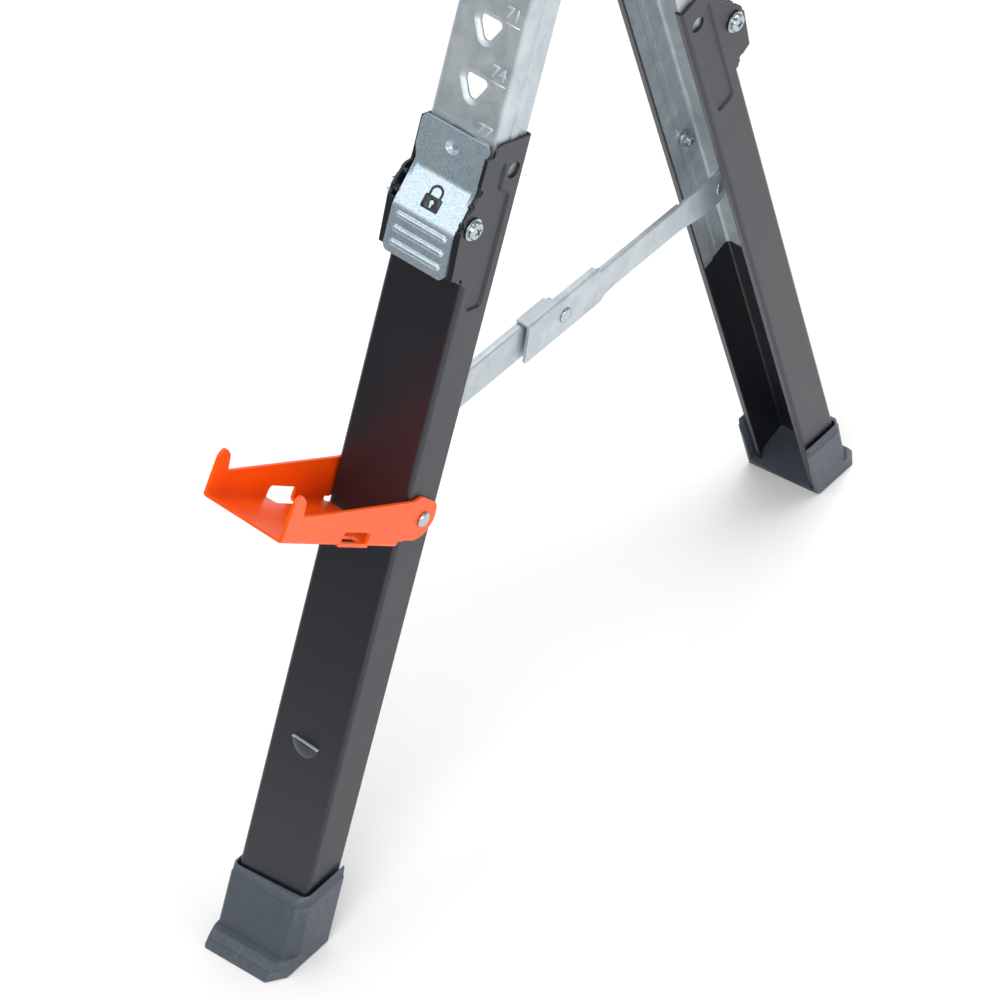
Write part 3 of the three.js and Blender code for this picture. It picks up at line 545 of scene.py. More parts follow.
def slate_plastic():
    n = Nodes("slate_moulded_plastic")
    grain = n.noise(1700, 3, 0.6)
    cloud = n.noise(45, 5, 0.65)
    dust = n.ramp(n.noise(260, 6, 0.7), [(0.52, (0, 0, 0)), (0.75, (1, 1, 1))])
    base = n.ramp(cloud, [(0.3, (0.045, 0.057, 0.074)), (0.7, (0.060, 0.074, 0.092))])
    base = n.mix(n.math("MULTIPLY", dust, 0.10), base, (0.15, 0.16, 0.18))
    # lighter blue-grey on convex edges, found by pointiness: a painted highlight on the foot's rims and ledges
    painted_rim_highlight = n.ramp(n.math("ADD", n.pointy(), n.math("MULTIPLY", n.noise(300, 3, 0.6), 0.03)), [(0.53, (0, 0, 0)), (0.60, (1, 1, 1))])
    base = n.mix(n.math("MULTIPLY", painted_rim_highlight, 0.55), base, (0.33, 0.38, 0.43))
    n.set(Base_Color=base, Metallic=0.0, Roughness=n.remap(cloud, 0.50, 0.62))
    n.set(Specular_IOR_Level=0.45)
    n.bump((grain, 0.12, 0.0003), (cloud, 0.04, 0.001))
    return n.m


def print_ink():
    n = Nodes("printed_ink")
    g = n.noise(2200, 3, 0.6)
    n.set(Base_Color=n.ramp(g, [(0.3, (0.024, 0.027, 0.034)), (0.75, (0.050, 0.054, 0.064))]), Roughness=n.remap(g, 0.4, 0.55))
    n.bump((g, 0.06, 0.0001))
    return n.m


# the last entry is the galvanised finish made 1.45 times lighter: a painted highlight, used for the height numbers and
# the half-moon's top edge
M = {"black_paint": black_paint(), "galvanised": galvanised(), "zinc_plate": zinc_plate(),
     "bright_zinc": bright_zinc(), "orange_paint": orange_paint(), "slate_plastic": slate_plastic(), "ink": print_ink(), "gloss": gloss_black(), "zinc_highlight": galvanised("burnished_zinc", 1.45)}


# ---------------------------------------------------------------- sleeve
def hole_outline(z, r=2.6):
    return rounded([(-8.6, z + 6.5, r), (8.6, z + 6.5, r), (0, z - 9.4, 3.0)], r, 6)


def sleeve_mesh(bracket):
    t = T
    sec = rounded([(-HW, 0, 3), (HW, 0, 3), (HW, D, 2.2), (HW - LIP, D, 0.5), (HW - LIP, D - t, 0.5),
                   (HW - t, D - t, 0.8), (HW - t, t, 1.6), (-HW + t, t, 1.6), (-HW + t, D - t, 0.8),
                   (-HW + LIP, D - t, 0.5), (-HW + LIP, D, 0.5), (-HW, D, 2.2)], 0, 7)
    s = prism("ab", sec, BOTTOM, TOP)
    ops = [("cut", box(-HW + t, -1, WEB_TOP, HW - t, 4.2, TOP + 1)), ("cut", box(-HW - 1, -1, WEB_TOP + 1.2, HW + 1, 3.4, TOP + 1))]
    ear = rounded([(5, TOP, 0), (3.5, TOP, 0), (0.4, TOP - 0.6, 1.5), (-0.8, TOP - 3, 0.8), (-0.9, 516.5, 0.5), (-6.2, 516.5, 1.0),
                   (-6.7, 500.5, 0.6), (-5.2, 499.4, 0.5), (-3.7, 498.9, 0.9), (-3.7, 496.5, 0.9), (-5.3, 495.9, 0.5), (-6.9, 494.6, 0.5),
                   (-8.2, 491.9, 0.2), (-7.6, 490.3, 0.3), (-8.9, 488.1, 0.3), (-10.1, 487.5, 0.3), (-12.9, 482.4, 1.2), (-13.0, 480.2, 0.4),
                   (-12.4, 478.9, 0.4), (-14.0, 477.0, 0.8), (-11.8, 449, 1.0), (-5.6, 447.6, 0.6), (-3.8, 448.4, 0.9), (-2.2, 447.2, 0.9),
                   (-2.6, 445.2, 0.8), (-1.0, 444.2, 0.5), (-0.3, 442.6, 0), (5, 442.6, 0)], 0, 4)
    low = [q for q in ear if q[1] < 490.5 or q[0] > -1.0]
    cutc = next(i for i, q in enumerate(low) if q[1] < 490.5)
    low = low[:cutc] + rounded([(-0.9, 497, 0), (-1.2, 493.4, 1.0), (-5.6, 492.6, 1.2), (-8.0, 490.6, 0)], 0, 3) + low[cutc:]
    upper = rounded([(-6.2, 516.5, 0.6), (-4.8, 516.5, 0), (-5.3, 500.8, 0), (-6.7, 500.5, 0.6)], 0, 3)
    lower = rounded([(-14.0, 476.8, 0.6), (-12.5, 476.8, 0), (-10.3, 449, 0), (-11.8, 449, 0.6)], 0, 3)
    panel = rounded([(8.2, 426, 2.5), (21, 426, 2.5), (21, 490.5, 2.2), (16.8, 494.2, 2.4), (11.8, 494.8, 1.6), (11.4, 510.8, 1.7), (7.9, 510.8, 1.7)], 0, 5)
    for q in (-1, 1):
        def span(x0, x1):
            return (x0, x1) if q > 0 else (-x1, -x0)
        ops.append(("join", prism("bc", ear if q > 0 else low, *span(HW - t, HW))))
        if q > 0:
            ops.append(("join", prism("bc", upper, *span(HW - 2.2, HW - 0.4))))
        ops.append(("join", prism("bc", lower, *span(HW - 3.7, HW - 0.4))))
        # two small stop pips on the sloping edge
        for b, c in ((-8.1, 489.6), (-12.5, 480.4)):
            ops.append(("join", turned("a", [(x, 1.25) for x in span(HW - 3.6, HW - 0.5)], b + 0.9, c - 0.2, 16)))
        ops.append(("cut", prism("bc", circle(19, 505, 4.7, 40), *span(HW - 3, HW + 1))))
        ops.append(("cut", prism("bc", circle(LEVER_B, LEVER_C, 3.2, 24), *span(HW - 4, HW + 1))))
        if bracket:
            ops.append(("cut", prism("bc", circle(BR_B, BR_C, 3.5, 28), *span(HW - 3, HW + 1))))
        d0, d1 = (HW + 0.3, HW - 1.15) if q > 0 else (-HW - 0.3, -HW + 1.15)
        ops.append(("cut", taper("bc", grow(panel, 0.75), d0, grow(panel, -0.75), d1)))
    ops.append(("cut", box(-HW - 1, -30, 518.4, -HW + 6, 24.5, 530)))
    return boolean(s, ops)


def dome_mesh():
    """half-moon pressing: lower half of a flattened dome, straight along its top"""
    def moon(rx, ry, z0, n=36, m=18):
        rings = []
        for j in range(m + 1):
            th = -math.pi / 2 + math.pi * j / m
            r = max(math.cos(th), 0.01)
            rings.append([(rx * r * math.cos(2 * math.pi * k / n), ry * r * math.sin(2 * math.pi * k / n), z0 + rx * math.sin(th)) for k in range(n)])
        return loft(rings)
    return boolean(moon(9.5, 2.9, 146.3), [("cut", box(-12, 0.35, 130, 12, 12, 160)), ("cut", box(-12, -12, 145.95, 12, 12, 160))])


def dome_highlight_strip_mesh():
    """bright strip along the top of the half-moon: a painted highlight standing in for the light caught on the
    pressing's straight top edge
    """
    return prism("ac", rounded([(-9.3, 146.6, 0.3), (9.3, 146.6, 0.3), (8.9, 145.9, 0.3), (-8.9, 145.9, 0.3)], 0, 3), -1.5, 0.3)


def inner_mesh(tab_hi):
    t, h, b0, b1 = 1.5, INNER_H, 1.8, 26.2
    sec = rounded([(-h, b0, 4.6), (h, b0, 4.6), (h, 9.6, 0.4), (h - 0.8, 10.3, 0.4), (h - 0.8, 12.4, 0.4), (h, 13.1, 0.4), (h, 17.3, 0.8), (h - 0.75, 18.4, 0.8),
                   (h - 0.75, b1, 0.4), (h - 0.75 - t, b1, 0.4), (h - 0.75 - t, 18.8, 0.4), (h - t, 17.6, 0.4), (h - t, b0 + t, 3.0),
                   (-h + t, b0 + t, 3.0), (-h + t, 17.6, 0.4), (-h + 0.75 + t, 18.8, 0.4), (-h + 0.75 + t, b1, 0.4), (-h + 0.75, b1, 0.4),
                   (-h + 0.75, 18.4, 0.8), (-h, 17.3, 0.8), (-h, 13.1, 0.4), (-h + 0.8, 12.4, 0.4), (-h + 0.8, 10.3, 0.4), (-h, 9.6, 0.4)], 0, 5)
    s = prism("ab", sec, INNER_BOTTOM, HINGE_C + 13)
    ops = []
    for k in range(-3, 4):
        z = LOCK_C + k * PITCH
        o = hole_outline(z)
        ops.append(("join", taper("ac", grow(o, 2.2), b0 + t - 0.2, grow(o, 0.7), b0 + t + 0.9)))
    for k in range(-3, 4):
        z = LOCK_C + k * PITCH
        o = hole_outline(z)
        ops.append(("cut", loft([[place("ac", u, v, d) for u, v in grow(o, g)] for g, d in ((3.6, b0 - 0.3), (2.9, b0 + 0.05), (1.9, b0 + 0.35), (1.0, b0 + 0.85), (0.0, b0 + 1.25), (0.0, b0 + 4))])))
    tab = rounded([(b0 + 0.6, SPREAD_C - 11, 0), (SPREAD_B + 2, SPREAD_C - 11, 9), (SPREAD_B + 9, SPREAD_C, 8),
                   (SPREAD_B + 2, SPREAD_C + 11, 9), (b0 + 0.6, SPREAD_C + 11, 0)], 0, 8)
    ops.append(("join", prism("bc", tab, tab_hi - 2, tab_hi)))
    ops.append(("cut", prism("bc", circle(SPREAD_B, SPREAD_C, 3.2, 24), tab_hi - 3, tab_hi + 1)))
    ops.append(("cut", prism("bc", circle(HINGE_B, HINGE_C, 4.3, 32), -h - 1, h + 1)))
    ops.append(("cut", prism("bc", circle(12.6, 356, 3.0, 24), -h - 1, -h + 3)))
    ops.append(("join", prism("bc", rounded([(11.5, INNER_BOTTOM + 8, 0.8), (13.7, INNER_BOTTOM + 8, 0.8), (13.7, 346, 0.8), (11.5, 346, 0.8)], 0, 3), -h + t - 0.9, -h + t + 0.5)))
    ops.append(("join", prism("bc", rounded([(11.5, 366, 0.8), (13.7, 366, 0.8), (13.7, 640, 0.8), (11.5, 640, 0.8)], 0, 3), -h + t - 0.9, -h + t + 0.5)))
    return boolean(s, ops)


def digits_mesh():
    """raised height numbers beside the locking holes, with a short index line under each"""
    out = []
    for k in range(-3, 4):
        z = LOCK_C + k * PITCH + 13.5
        cu = bpy.data.curves.new("n", "FONT")
        cu.body = str(77 - 3 * k)
        cu.size = 9.4
        cu.extrude = 0.42
        cu.bevel_depth = 0.14
        cu.bevel_resolution = 1
        cu.resolution_u = 3
        cu.align_x = "CENTER"
        cu.align_y = "CENTER"
        o = bpy.data.objects.new("n", cu)
        bpy.context.scene.collection.objects.link(o)
        bpy.context.view_layer.update()
        me = bpy.data.meshes.new_from_object(o.evaluated_get(bpy.context.evaluated_depsgraph_get()))
        bpy.data.objects.remove(o)
        me = mapped(me, lambda v, z=z: Vector((12.3 + v.x, 2.13 - v.z, z + v.y)))
        bm = bmesh.new()
        bm.from_mesh(me)
        bmesh.ops.remove_doubles(bm, verts=bm.verts, dist=0.001)
        bmesh.ops.recalc_face_normals(bm, faces=bm.faces)
        bm.to_mesh(me)
        bm.free()
        out.append(me)
        out.append(prism("ac", rounded([(8.4, z - 5.6, 0.3), (17.8, z - 5.6, 0.3), (17.8, z - 4.9, 0.3), (8.4, z - 4.9, 0.3)], 0, 3), 1.58, 1.95))
    return merged(*out)


def lever_mesh():
    w, t = 19.9, 1.6
    path = bent([(-2.7, 521.5), (-2.7, 494), (-13.1, 473.5), (-13.1, 447.5)], 8, 10)
    s = prism("bc", sheet(path, t), -w - 2, w + 2)
    face = rounded([(-w, 447.0, 4.5), (w, 447.0, 4.5), (w, 498, 4), (w + 1.6, 504, 4), (w + 1.6, 522.2, 4.5), (-w - 1.8, 522.2, 4.5), (-w - 1.8, 504, 4), (-w, 498, 4)], 0, 8)
    ops = [("both", prism("ac", face, -30, 10))]
    for z in (469.4, 461.5, 453.6):
        N, m, r, L = 24, 8, 2.35, 14.6
        rings = []
        for j in range(m + 1):
            th = -math.pi / 2 + math.pi / 2 * j / m
            rr = max(math.cos(th), 0.02) * r
            rings.append([(-L + r * math.sin(th), -12.95 + rr * math.cos(2 * math.pi * k / N), z + rr * math.sin(2 * math.pi * k / N)) for k in range(N)])
        for j in range(m + 1):
            th = math.pi / 2 * j / m
            rr = max(math.cos(th), 0.02) * r
            rings.append([(L + r * math.sin(th), -12.95 + rr * math.cos(2 * math.pi * k / N), z + rr * math.sin(2 * math.pi * k / N)) for k in range(N)])
        ops.append(("join", boolean(loft(rings), [("cut", box(-30, -12.7, 440, 30, 0, 480))])))
    cheek = rounded([(-3.2, 497, 0), (-12.6, 474.2, 0), (-12.6, 466, 2), (-8, 468.5, 3), (0.4, 473.5, 4), (0.9, 482, 4), (-1.8, 492, 2)], 0, 5)
    for q in (-1, 1):
        lo, hi = (w - 2, w - 0.05) if q > 0 else (-w + 0.05, -w + 2)
        ops.append(("join", prism("bc", cheek, lo, hi)))
        ops.append(("cut", prism("bc", circle(LEVER_B, LEVER_C, 3.2, 24), lo - 1, hi + 1)))
    tooth = [[place("ac", u, v, d) for u, v in circle(0, LOCK_C, r, 32, 0, r * 1.15)] for r, d in ((3.9, -2.9), (3.6, -1.2), (3.1, 0.4), (2.4, 1.25))]
    ops.append(("join", loft(tooth)))
    pit = [[place("ac", u, v, d) for u, v in circle(0, LOCK_C, r, 32, 0, r * 1.2)] for r, d in ((4.4, -3.9), (3.5, -3.35), (2.5, -2.2), (1.6, -1.4))]
    ops.append(("cut", loft(pit)))
    return boolean(s, ops)


def lock_mark_mesh():
    """generic padlock pictogram printed on the lever's slope"""
    body = rounded([(-5.2, -6.2, 1.0), (5.2, -6.2, 1.0), (5.2, 1.0, 1.0), (-5.2, 1.0, 1.0)], 0, 5)
    key = circle(0, -2.2, 1.15, 20)
    slot = rounded([(-0.55, -4.8, 0.2), (0.55, -4.8, 0.2), (0.55, -2.4, 0), (-0.55, -2.4, 0)], 0, 2)
    arch = [(-3.9, 0.6)] + [(3.9 * math.cos(math.pi - math.pi * k / 20), 3.2 + 3.7 * math.sin(math.pi * k / 20)) for k in range(21)] + [(3.9, 0.6), (2.5, 0.6)]
    arch += [(2.5 * math.cos(math.pi * k / 20), 3.2 + 2.3 * math.sin(math.pi * k / 20)) for k in range(21)] + [(-2.5, 0.6)]
    me = boolean(prism("ab", body, -0.03, 0.06), [("join", prism("ab", arch, -0.03, 0.06)), ("cut", prism("ab", key, -1, 1)), ("cut", prism("ab", slot, -1, 1))])
    p0, p1 = Vector((-13.1, 473.5)), Vector((-2.7, 494))
    d = (p1 - p0).normalized()
    nrm = Vector((-d.y, d.x))
    mid = (p0 + p1) / 2 + nrm * 0.8
    return mapped(me, lambda v: Vector((v.x * 1.05, mid.x + d.x * v.y * 1.05 + nrm.x * v.z, mid.y + d.y * v.y * 1.05 + nrm.y * v.z)))


def screw_head(axis_at, r, h, base, side, cross=True):
    """pan head with a cross recess; base is the seat along a, side the way it points"""
    b, c = axis_at
    prof = [(base, r * 0.99), (base + side * h * 0.35, r), (base + side * h * 0.72, r * 0.90), (base + side * h * 0.92, r * 0.66), (base + side * h, r * 0.3)]
    me = turned("a", prof, b, c, 40)
    if cross:
        ops = []
        for ang in (0.5, 0.5 + math.pi / 2):
            u, v = math.cos(ang), math.sin(ang)
            L, W = r * 0.52, r * 0.13
            pts = [(b + u * L - v * W, c + v * L + u * W), (b - u * L - v * W, c - v * L + u * W), (b - u * L + v * W, c - v * L - u * W), (b + u * L + v * W, c + v * L - u * W)]
            x0, x1 = base + side * h * 0.45, base + side * (h + 1)
            ops.append(("cut", prism("bc", pts, min(x0, x1), max(x0, x1))))
        me = boolean(me, ops)
    return me


def lever_bolt_mesh():
    at = (LEVER_B, LEVER_C)
    sh = turned("a", [(-26.5, 2.9), (26, 2.9)], *at, 28)
    washer = turned("a", [(HW + 0.3, 6.0), (HW + 0.5, 6.2), (HW + 1.2, 6.2), (HW + 1.4, 6.0)], *at, 48)
    split = turned("a", [(HW + 1.3, 4.9), (HW + 2.0, 4.95)], *at, 40)
    head = screw_head(at, 4.9, 2.3, HW + 1.9, 1)
    hexn = prism("bc", circle(LEVER_B, LEVER_C, 5.2, 6), -HW - 3.9, -HW - 1.2)
    flange = turned("a", [(-HW - 1.4, 5.9), (-HW - 0.3, 6.1)], *at, 40)
    return boolean(sh, [("join", washer), ("join", split), ("join", head), ("join", hexn), ("join", flange)])


def spring_mesh():
    """closely wound torsion spring as one wire"""
    turns, n, r, wr = 8, 22, 3.55, 0.36
    rings = []
    total = turns * n
    for i in range(total + 1):
        th = 2 * math.pi * i / n
        x = -8.6 + 17.2 * i / total
        cx, cy, cz = x, LEVER_B + r * math.cos(th), LEVER_C + r * math.sin(th)
        rings.append([(cx + wr * math.cos(2 * math.pi * k / 8), cy + wr * math.sin(2 * math.pi * k / 8) * math.cos(th), cz + wr * math.sin(2 * math.pi * k / 8) * math.sin(th)) for k in range(8)])
    return loft(rings)


def guide_bolt_mesh():
    h, at = INNER_H, (12.6, 356)
    sh = turned("a", [(-h + 0.1, 2.7), (-h + 6.8, 2.7), (-h + 7.5, 2.2)], *at, 24)
    washer = turned("a", [(-h + 1.75, 4.8), (-h + 1.9, 5.0), (-h + 2.7, 5.0), (-h + 2.85, 4.8)], *at, 36)
    nut = prism("bc", circle(*at, 4.4, 6, 0.4), -h + 2.7, -h + 5.9)
    return boolean(sh, [("join", washer), ("join", nut)])


def hinge_bolt_mesh():
    at, h = (HINGE_B, HINGE_C), 24.8
    sh = turned("a", [(-h - 2, 3.9), (h + 2, 3.9)], *at, 32)
    return boolean(sh, [("join", screw_head(at, 6.6, 3.2, h, 1)), ("join", prism("bc", circle(*at, 6.6, 6, 0.3), -h - 3.2, -h))])


def rivet_mesh(x0, x1, r, at, heads):
    """shank with domed heads; heads: [(seat, side, radius, height)]"""
    me = turned("a", [(x0, r), (x1, r)], *at, 28)
    ops = []
    for seat, side, hr, hh in heads:
        prof = [(seat + side * hh * math.sin(math.pi / 2 * k / 6), hr * math.cos(math.pi / 2 * k / 6) if k else hr) for k in range(7)]
        prof = [(seat - side * 0.15, hr * 0.97)] + prof
        ops.append(("join", turned("a", prof, *at, 36)))
    return boolean(me, ops)


def tube_rivet_mesh(q):
    """bracket rivet: low domed head with a small centre pit"""
    at = (BR_B, BR_C)
    prof = [(HW + 2.45, 4.1), (HW + 2.6, 4.45), (HW + 3.2, 4.4), (HW + 3.8, 3.9), (HW + 4.2, 3.1), (HW + 4.4, 1.9), (HW + 4.4, 1.0), (HW + 4.0, 0.5), (HW + 3.9, 0.05)]
    me = turned("a", [(q * (HW - T + 0.1), 3.1), (q * 28.0, 3.1)], *at, 28)
    return boolean(me, [("join", turned("a", [(q * d, r) for d, r in prof], *at, 40))])


def bracket_mesh():
    A0, A1, tk = HW + 0.4, HW + 2.2, 1.8
    q0 = -17.4
    arm = rounded([(15.5, 9.4, 4), (9.4, 12.6, 5), (-8, 9.6, 8), (-12, 0, 8), (-8.4, -9.4, 6), (-1, -12.8, 4), (9.4, -12.9, 0.8),
                   (11.4, q0, 0.6), (126.2, q0, 1.5), (129.8, 6, 3.5), (127.0, 10.4, 4.2), (120.4, 7.0, 4.2), (116.2, -2.2, 2.5)], 0, 8)
    # (a, p, q) solid: U section along p, trimmed by the side outline
    sec = rounded([(-A1, 30, 0), (-A1, q0, 2.4), (A1, q0, 2.4), (A1, 30, 0), (A0, 30, 0), (A0, q0 + tk, 0.9), (-A0, q0 + tk, 0.9), (-A0, 30, 0)], 0, 7)
    u = loft([[(a, p, q) for a, q in sec] for p in (-20, 140)])
    ops = [("both", loft([[(a, p, q) for p, q in arm] for a in (-40, 40)]))]
    ops.append(("cut", loft([[(a, p, q) for p, q in [(-21, -30), (11.3, -30), (11.3, -10), (-21, -10)]] for a in (-A0 + 3.2, A0 - 3.2)])))
    ops.append(("cut", loft([[(a, p, q) for p, q in [(-21, -20), (10.2, -20), (10.2, 20), (-21, 20)]] for a in (-A0, A0)])))
    for q in (-1, 1):
        def span(x0, x1):
            return (x0, x1) if q > 0 else (-x1, -x0)
        hole = rounded([(44.8, -9.2, 2), (43.8, -19, 0), (70.2, -19, 0), (70.8, -9.2, 2)], 0, 6)
        ops.append(("cut", loft([[(a, p, qq) for p, qq in hole] for a in span(A1 - 4, A1 + 1)])))
        slot = rounded([(A1 - 8.6, 45.4, 1.8), (A1 + 2, 43.8, 0), (A1 + 2, 70.6, 0), (A1 - 8.6, 69.4, 1.8)], 0, 6)
        if q < 0:
            slot = [(-a, p) for a, p in slot]
        ops.append(("cut", loft([[(a, p, qq) for a, p in slot] for qq in (-20, -14.5)])))
        relief = rounded([(A1 - 3.6, 9, 0), (A1 + 2, 9, 0), (A1 + 2, 14.2, 0), (A1 - 3.6, 14.2, 1.2)], 0, 4)
        if q < 0:
            relief = [(-a, p) for a, p in relief]
        ops.append(("cut", loft([[(a, p, qq) for a, p in relief] for qq in (-20, -13.6)])))
        ops.append(("cut", loft([[(a, p, qq) for p, qq in circle(0, 0, 3.4, 28)] for a in span(A0 - 1, A1 + 1)])))
    # strap left along the fold of the +a arm only, below its slot
    for q in (1,):
        a0, a1 = A1 - 2.0, A1 + 0.15
        strap = rounded([(42.6, -15.5, 0.6), (42.6, -17.7, 1.0), (71.6, -17.7, 1.0), (71.6, -15.5, 0.6)], 0, 4)
        ops.append(("join", loft([[(a, p, qq) for p, qq in strap] for a in (a0, a1)])))
    # small witness notch in the plate's outer edge
    ops.append(("cut", loft([[(a, p, qq) for a, p in rounded([(-4, 125.0, 0.8), (4, 125.0, 0.8), (5, 128.5, 0), (-5, 128.5, 0)], 0, 4)] for qq in (-20, -14.5)])))
    me = boolean(u, ops)
    c, s = math.cos(rad(BR_RISE)), math.sin(rad(BR_RISE))
    return mapped(me, lambda v: Vector((v.x, BR_B - c * v.y + s * v.z, BR_C + s * v.y + c * v.z)))


def foot_mesh():
    H, dA = 50.0, sR / cR
    w = HW + 3.6
    yb = lambda z: 33.0 + (50.0 - 33.0) * z / H

    def ring(z, front, ci, co, out=0.0):
        """level outline: inboard front corner cut by ci, outboard by co, sides pushed out by out"""
        cx, b, hw = dA * z, yb(z) + out, w + out
        pts = [(cx - hw, front + co), (cx - hw + co, front), (cx + hw - ci * 0.9, front), (cx + hw, front + ci * 1.15),
               (cx + hw, b - 1.4), (cx + hw - 1.4, b), (cx - hw + 1.4, b), (cx - hw, b - 1.4)]
        return [(a, y, z) for a, y in pts]
    f = lambda z: y_(z) - 3.6
    rings = [ring(0.0, -11.4, 8.6, 1.6, -0.6), ring(1.0, -11.3, 8.6, 1.6), ring(5.4, -8.0, 8.4, 1.7), ring(5.75, -7.55, 8.4, 1.7), ring(6.1, -7.6, 8.4, 1.8),
             ring(9.9, -3.9, 7.6, 2.4), ring(10.3, -3.3, 7.6, 2.5), ring(10.8, f(10.8), 7.4, 2.6), ring(43.2, f(43.2), 5.6, 2.6),
             ring(43.6, f(43.6) + 0.25, 5.5, 2.6, -0.35), ring(49.3, f(49.3) + 0.45, 5.0, 2.4, -0.7), ring(H, f(H) + 0.7, 4.8, 2.2, -1.0)]
    s = loft(rings)
    # socket along the leg, opening a little at the mouth
    n, wv = Vector((cR, 0, -sR)), Vector((sR, 0, cR))
    u = Vector((cT * wv.x, sT, cT * wv.z)); m = Vector((-sT * wv.x, cT, -sT * wv.z))
    def L(a, b, c):
        return tuple(n * a + m * b + u * c)
    sock = loft([[L(a, b, c) for a, b in rounded([(-HW - g, -g, 3.2), (HW + g, -g, 3.6), (HW + g, 62, 0), (-HW - g, 62, 0)], 0, 6)] for g, c in ((0.3, BOTTOM - 0.3), (0.3, 40), (1.35, 50), (1.5, 130))])
    # the foot with the socket cut out
    bead = boolean(s, [("cut", sock)])
    return bead


def y_(z):
    return z * sT / cT / cR


# ---------------------------------------------------------------- spreader, in end-frame coordinates
def bar_front_mesh():
    A0, A1 = 0.0, 1.8
    out = rounded([(-30, 13, 0.8), (-34, -12, 1), (30.5, -12, 2), (34, -9.2, 3), (42, -8.2, 6), (100, -8.2, 16), (119, -11.5, 10),
                   (PIV_Y + 2, -11.5, 12), (PIV_Y + 11.3, 0, 12), (PIV_Y + 2, 11.5, 12), (106, 11.5, 6), (99, 10.4, 5), (37, 10.4, 5), (28, 13, 3)], 0, 8)
    s = prism("bc", out, A0, A1)
    ops = []
    def flange(y0, y1, top, depth, r=1.5):
        sec = rounded([(A1, top - 4, 0), (A1, top, r + 1.2), (A1 - depth, top, 0.3), (A1 - depth, top - 1.6, 0.3), (A0, top - 1.6, r * 0.6), (A0, top - 4, 0)], 0, 6)
        return loft([[(a, y, w) for a, w in sec] for y in (y0, y1)])
    ops += [("cut", box(-1, -40, 9.2, 3, 27.6, 14)), ("join", flange(-30.4, 27.6, 13.0, 4.6)), ("join", flange(-30.6, -8, 13.0, 9.2)),
            ("cut", box(-1, 29.5, 6.6, 3, 99.4, 14)), ("join", flange(29.5, 99.4, 10.4, 3.1))]
    for y in (PIV_Y, 0):
        ops.append(("cut", prism("bc", circle(y, 0, 3.2, 28), -3, 3)))
    return mapped(boolean(s, ops), lambda v: Vector((v.x, v.y, v.z + PIV_W)))


def bar_back_mesh():
    A0, A1 = -4.2, -2.4
    out = rounded([(10.8, 10.8, 10.5), (10.8, -10.8, 10.5), (-PIV_Y - 2, -10.8, 10), (-PIV_Y - 11, 0, 10), (-PIV_Y - 2, 10.8, 10)], 0, 8)
    s = prism("bc", out, A0, A1)
    sec = rounded([(A1, 7, 0), (A1, 10.8, 2.4), (-7.0, 10.8, 0.3), (-7.0, 9.2, 0.3), (A0, 9.2, 0.8), (A0, 7, 0)], 0, 6)
    fl = loft([[(a, y, w) for a, w in sec] for y in (-PIV_Y + 18, -4)])
    ops = [("cut", box(-5, -PIV_Y + 18, 7.2, -1, -4, 12)), ("join", fl), ("cut", prism("bc", circle(-PIV_Y, 0, 3.2, 28), -6, 0))]
    return mapped(boolean(s, ops), lambda v: Vector((v.x, v.y, v.z + PIV_W)))


# ---------------------------------------------------------------- assembly
DM, DOME_HL_STRIP, SLB, SL, LV, LB, SP, GB, HB = dome_mesh(), dome_highlight_strip_mesh(), sleeve_mesh(True), sleeve_mesh(False), lever_mesh(), lever_bolt_mesh(), spring_mesh(), guide_bolt_mesh(), hinge_bolt_mesh()
FT, BK, BKI, BKO, LM, DG = foot_mesh(), bracket_mesh(), tube_rivet_mesh(1), tube_rivet_mesh(-1), lock_mark_mesh(), digits_mesh()
INN = {1: inner_mesh(-0.4), -1: inner_mesh(-4.6)}
PIV = {sy: rivet_mesh(lo - 1.2, hi + 1.2, 2.9, (SPREAD_B, SPREAD_C), [(hi + 0.3, 1, 4.6, 1.4), (lo - 0.3, -1, 4.6, 1.4)])
       for sy, lo, hi in ((1, -2.4, 1.8), (-1, -6.6, -2.4))}
BF, BB = bar_front_mesh(), bar_back_mesh()
MR = mapped(rivet_mesh(-1.8, 2.4, 2.9, (0, 0), [(2.1, 1, 4.6, 1.5)]), lambda v: Vector((v.x, v.y, v.z + PIV_W)))

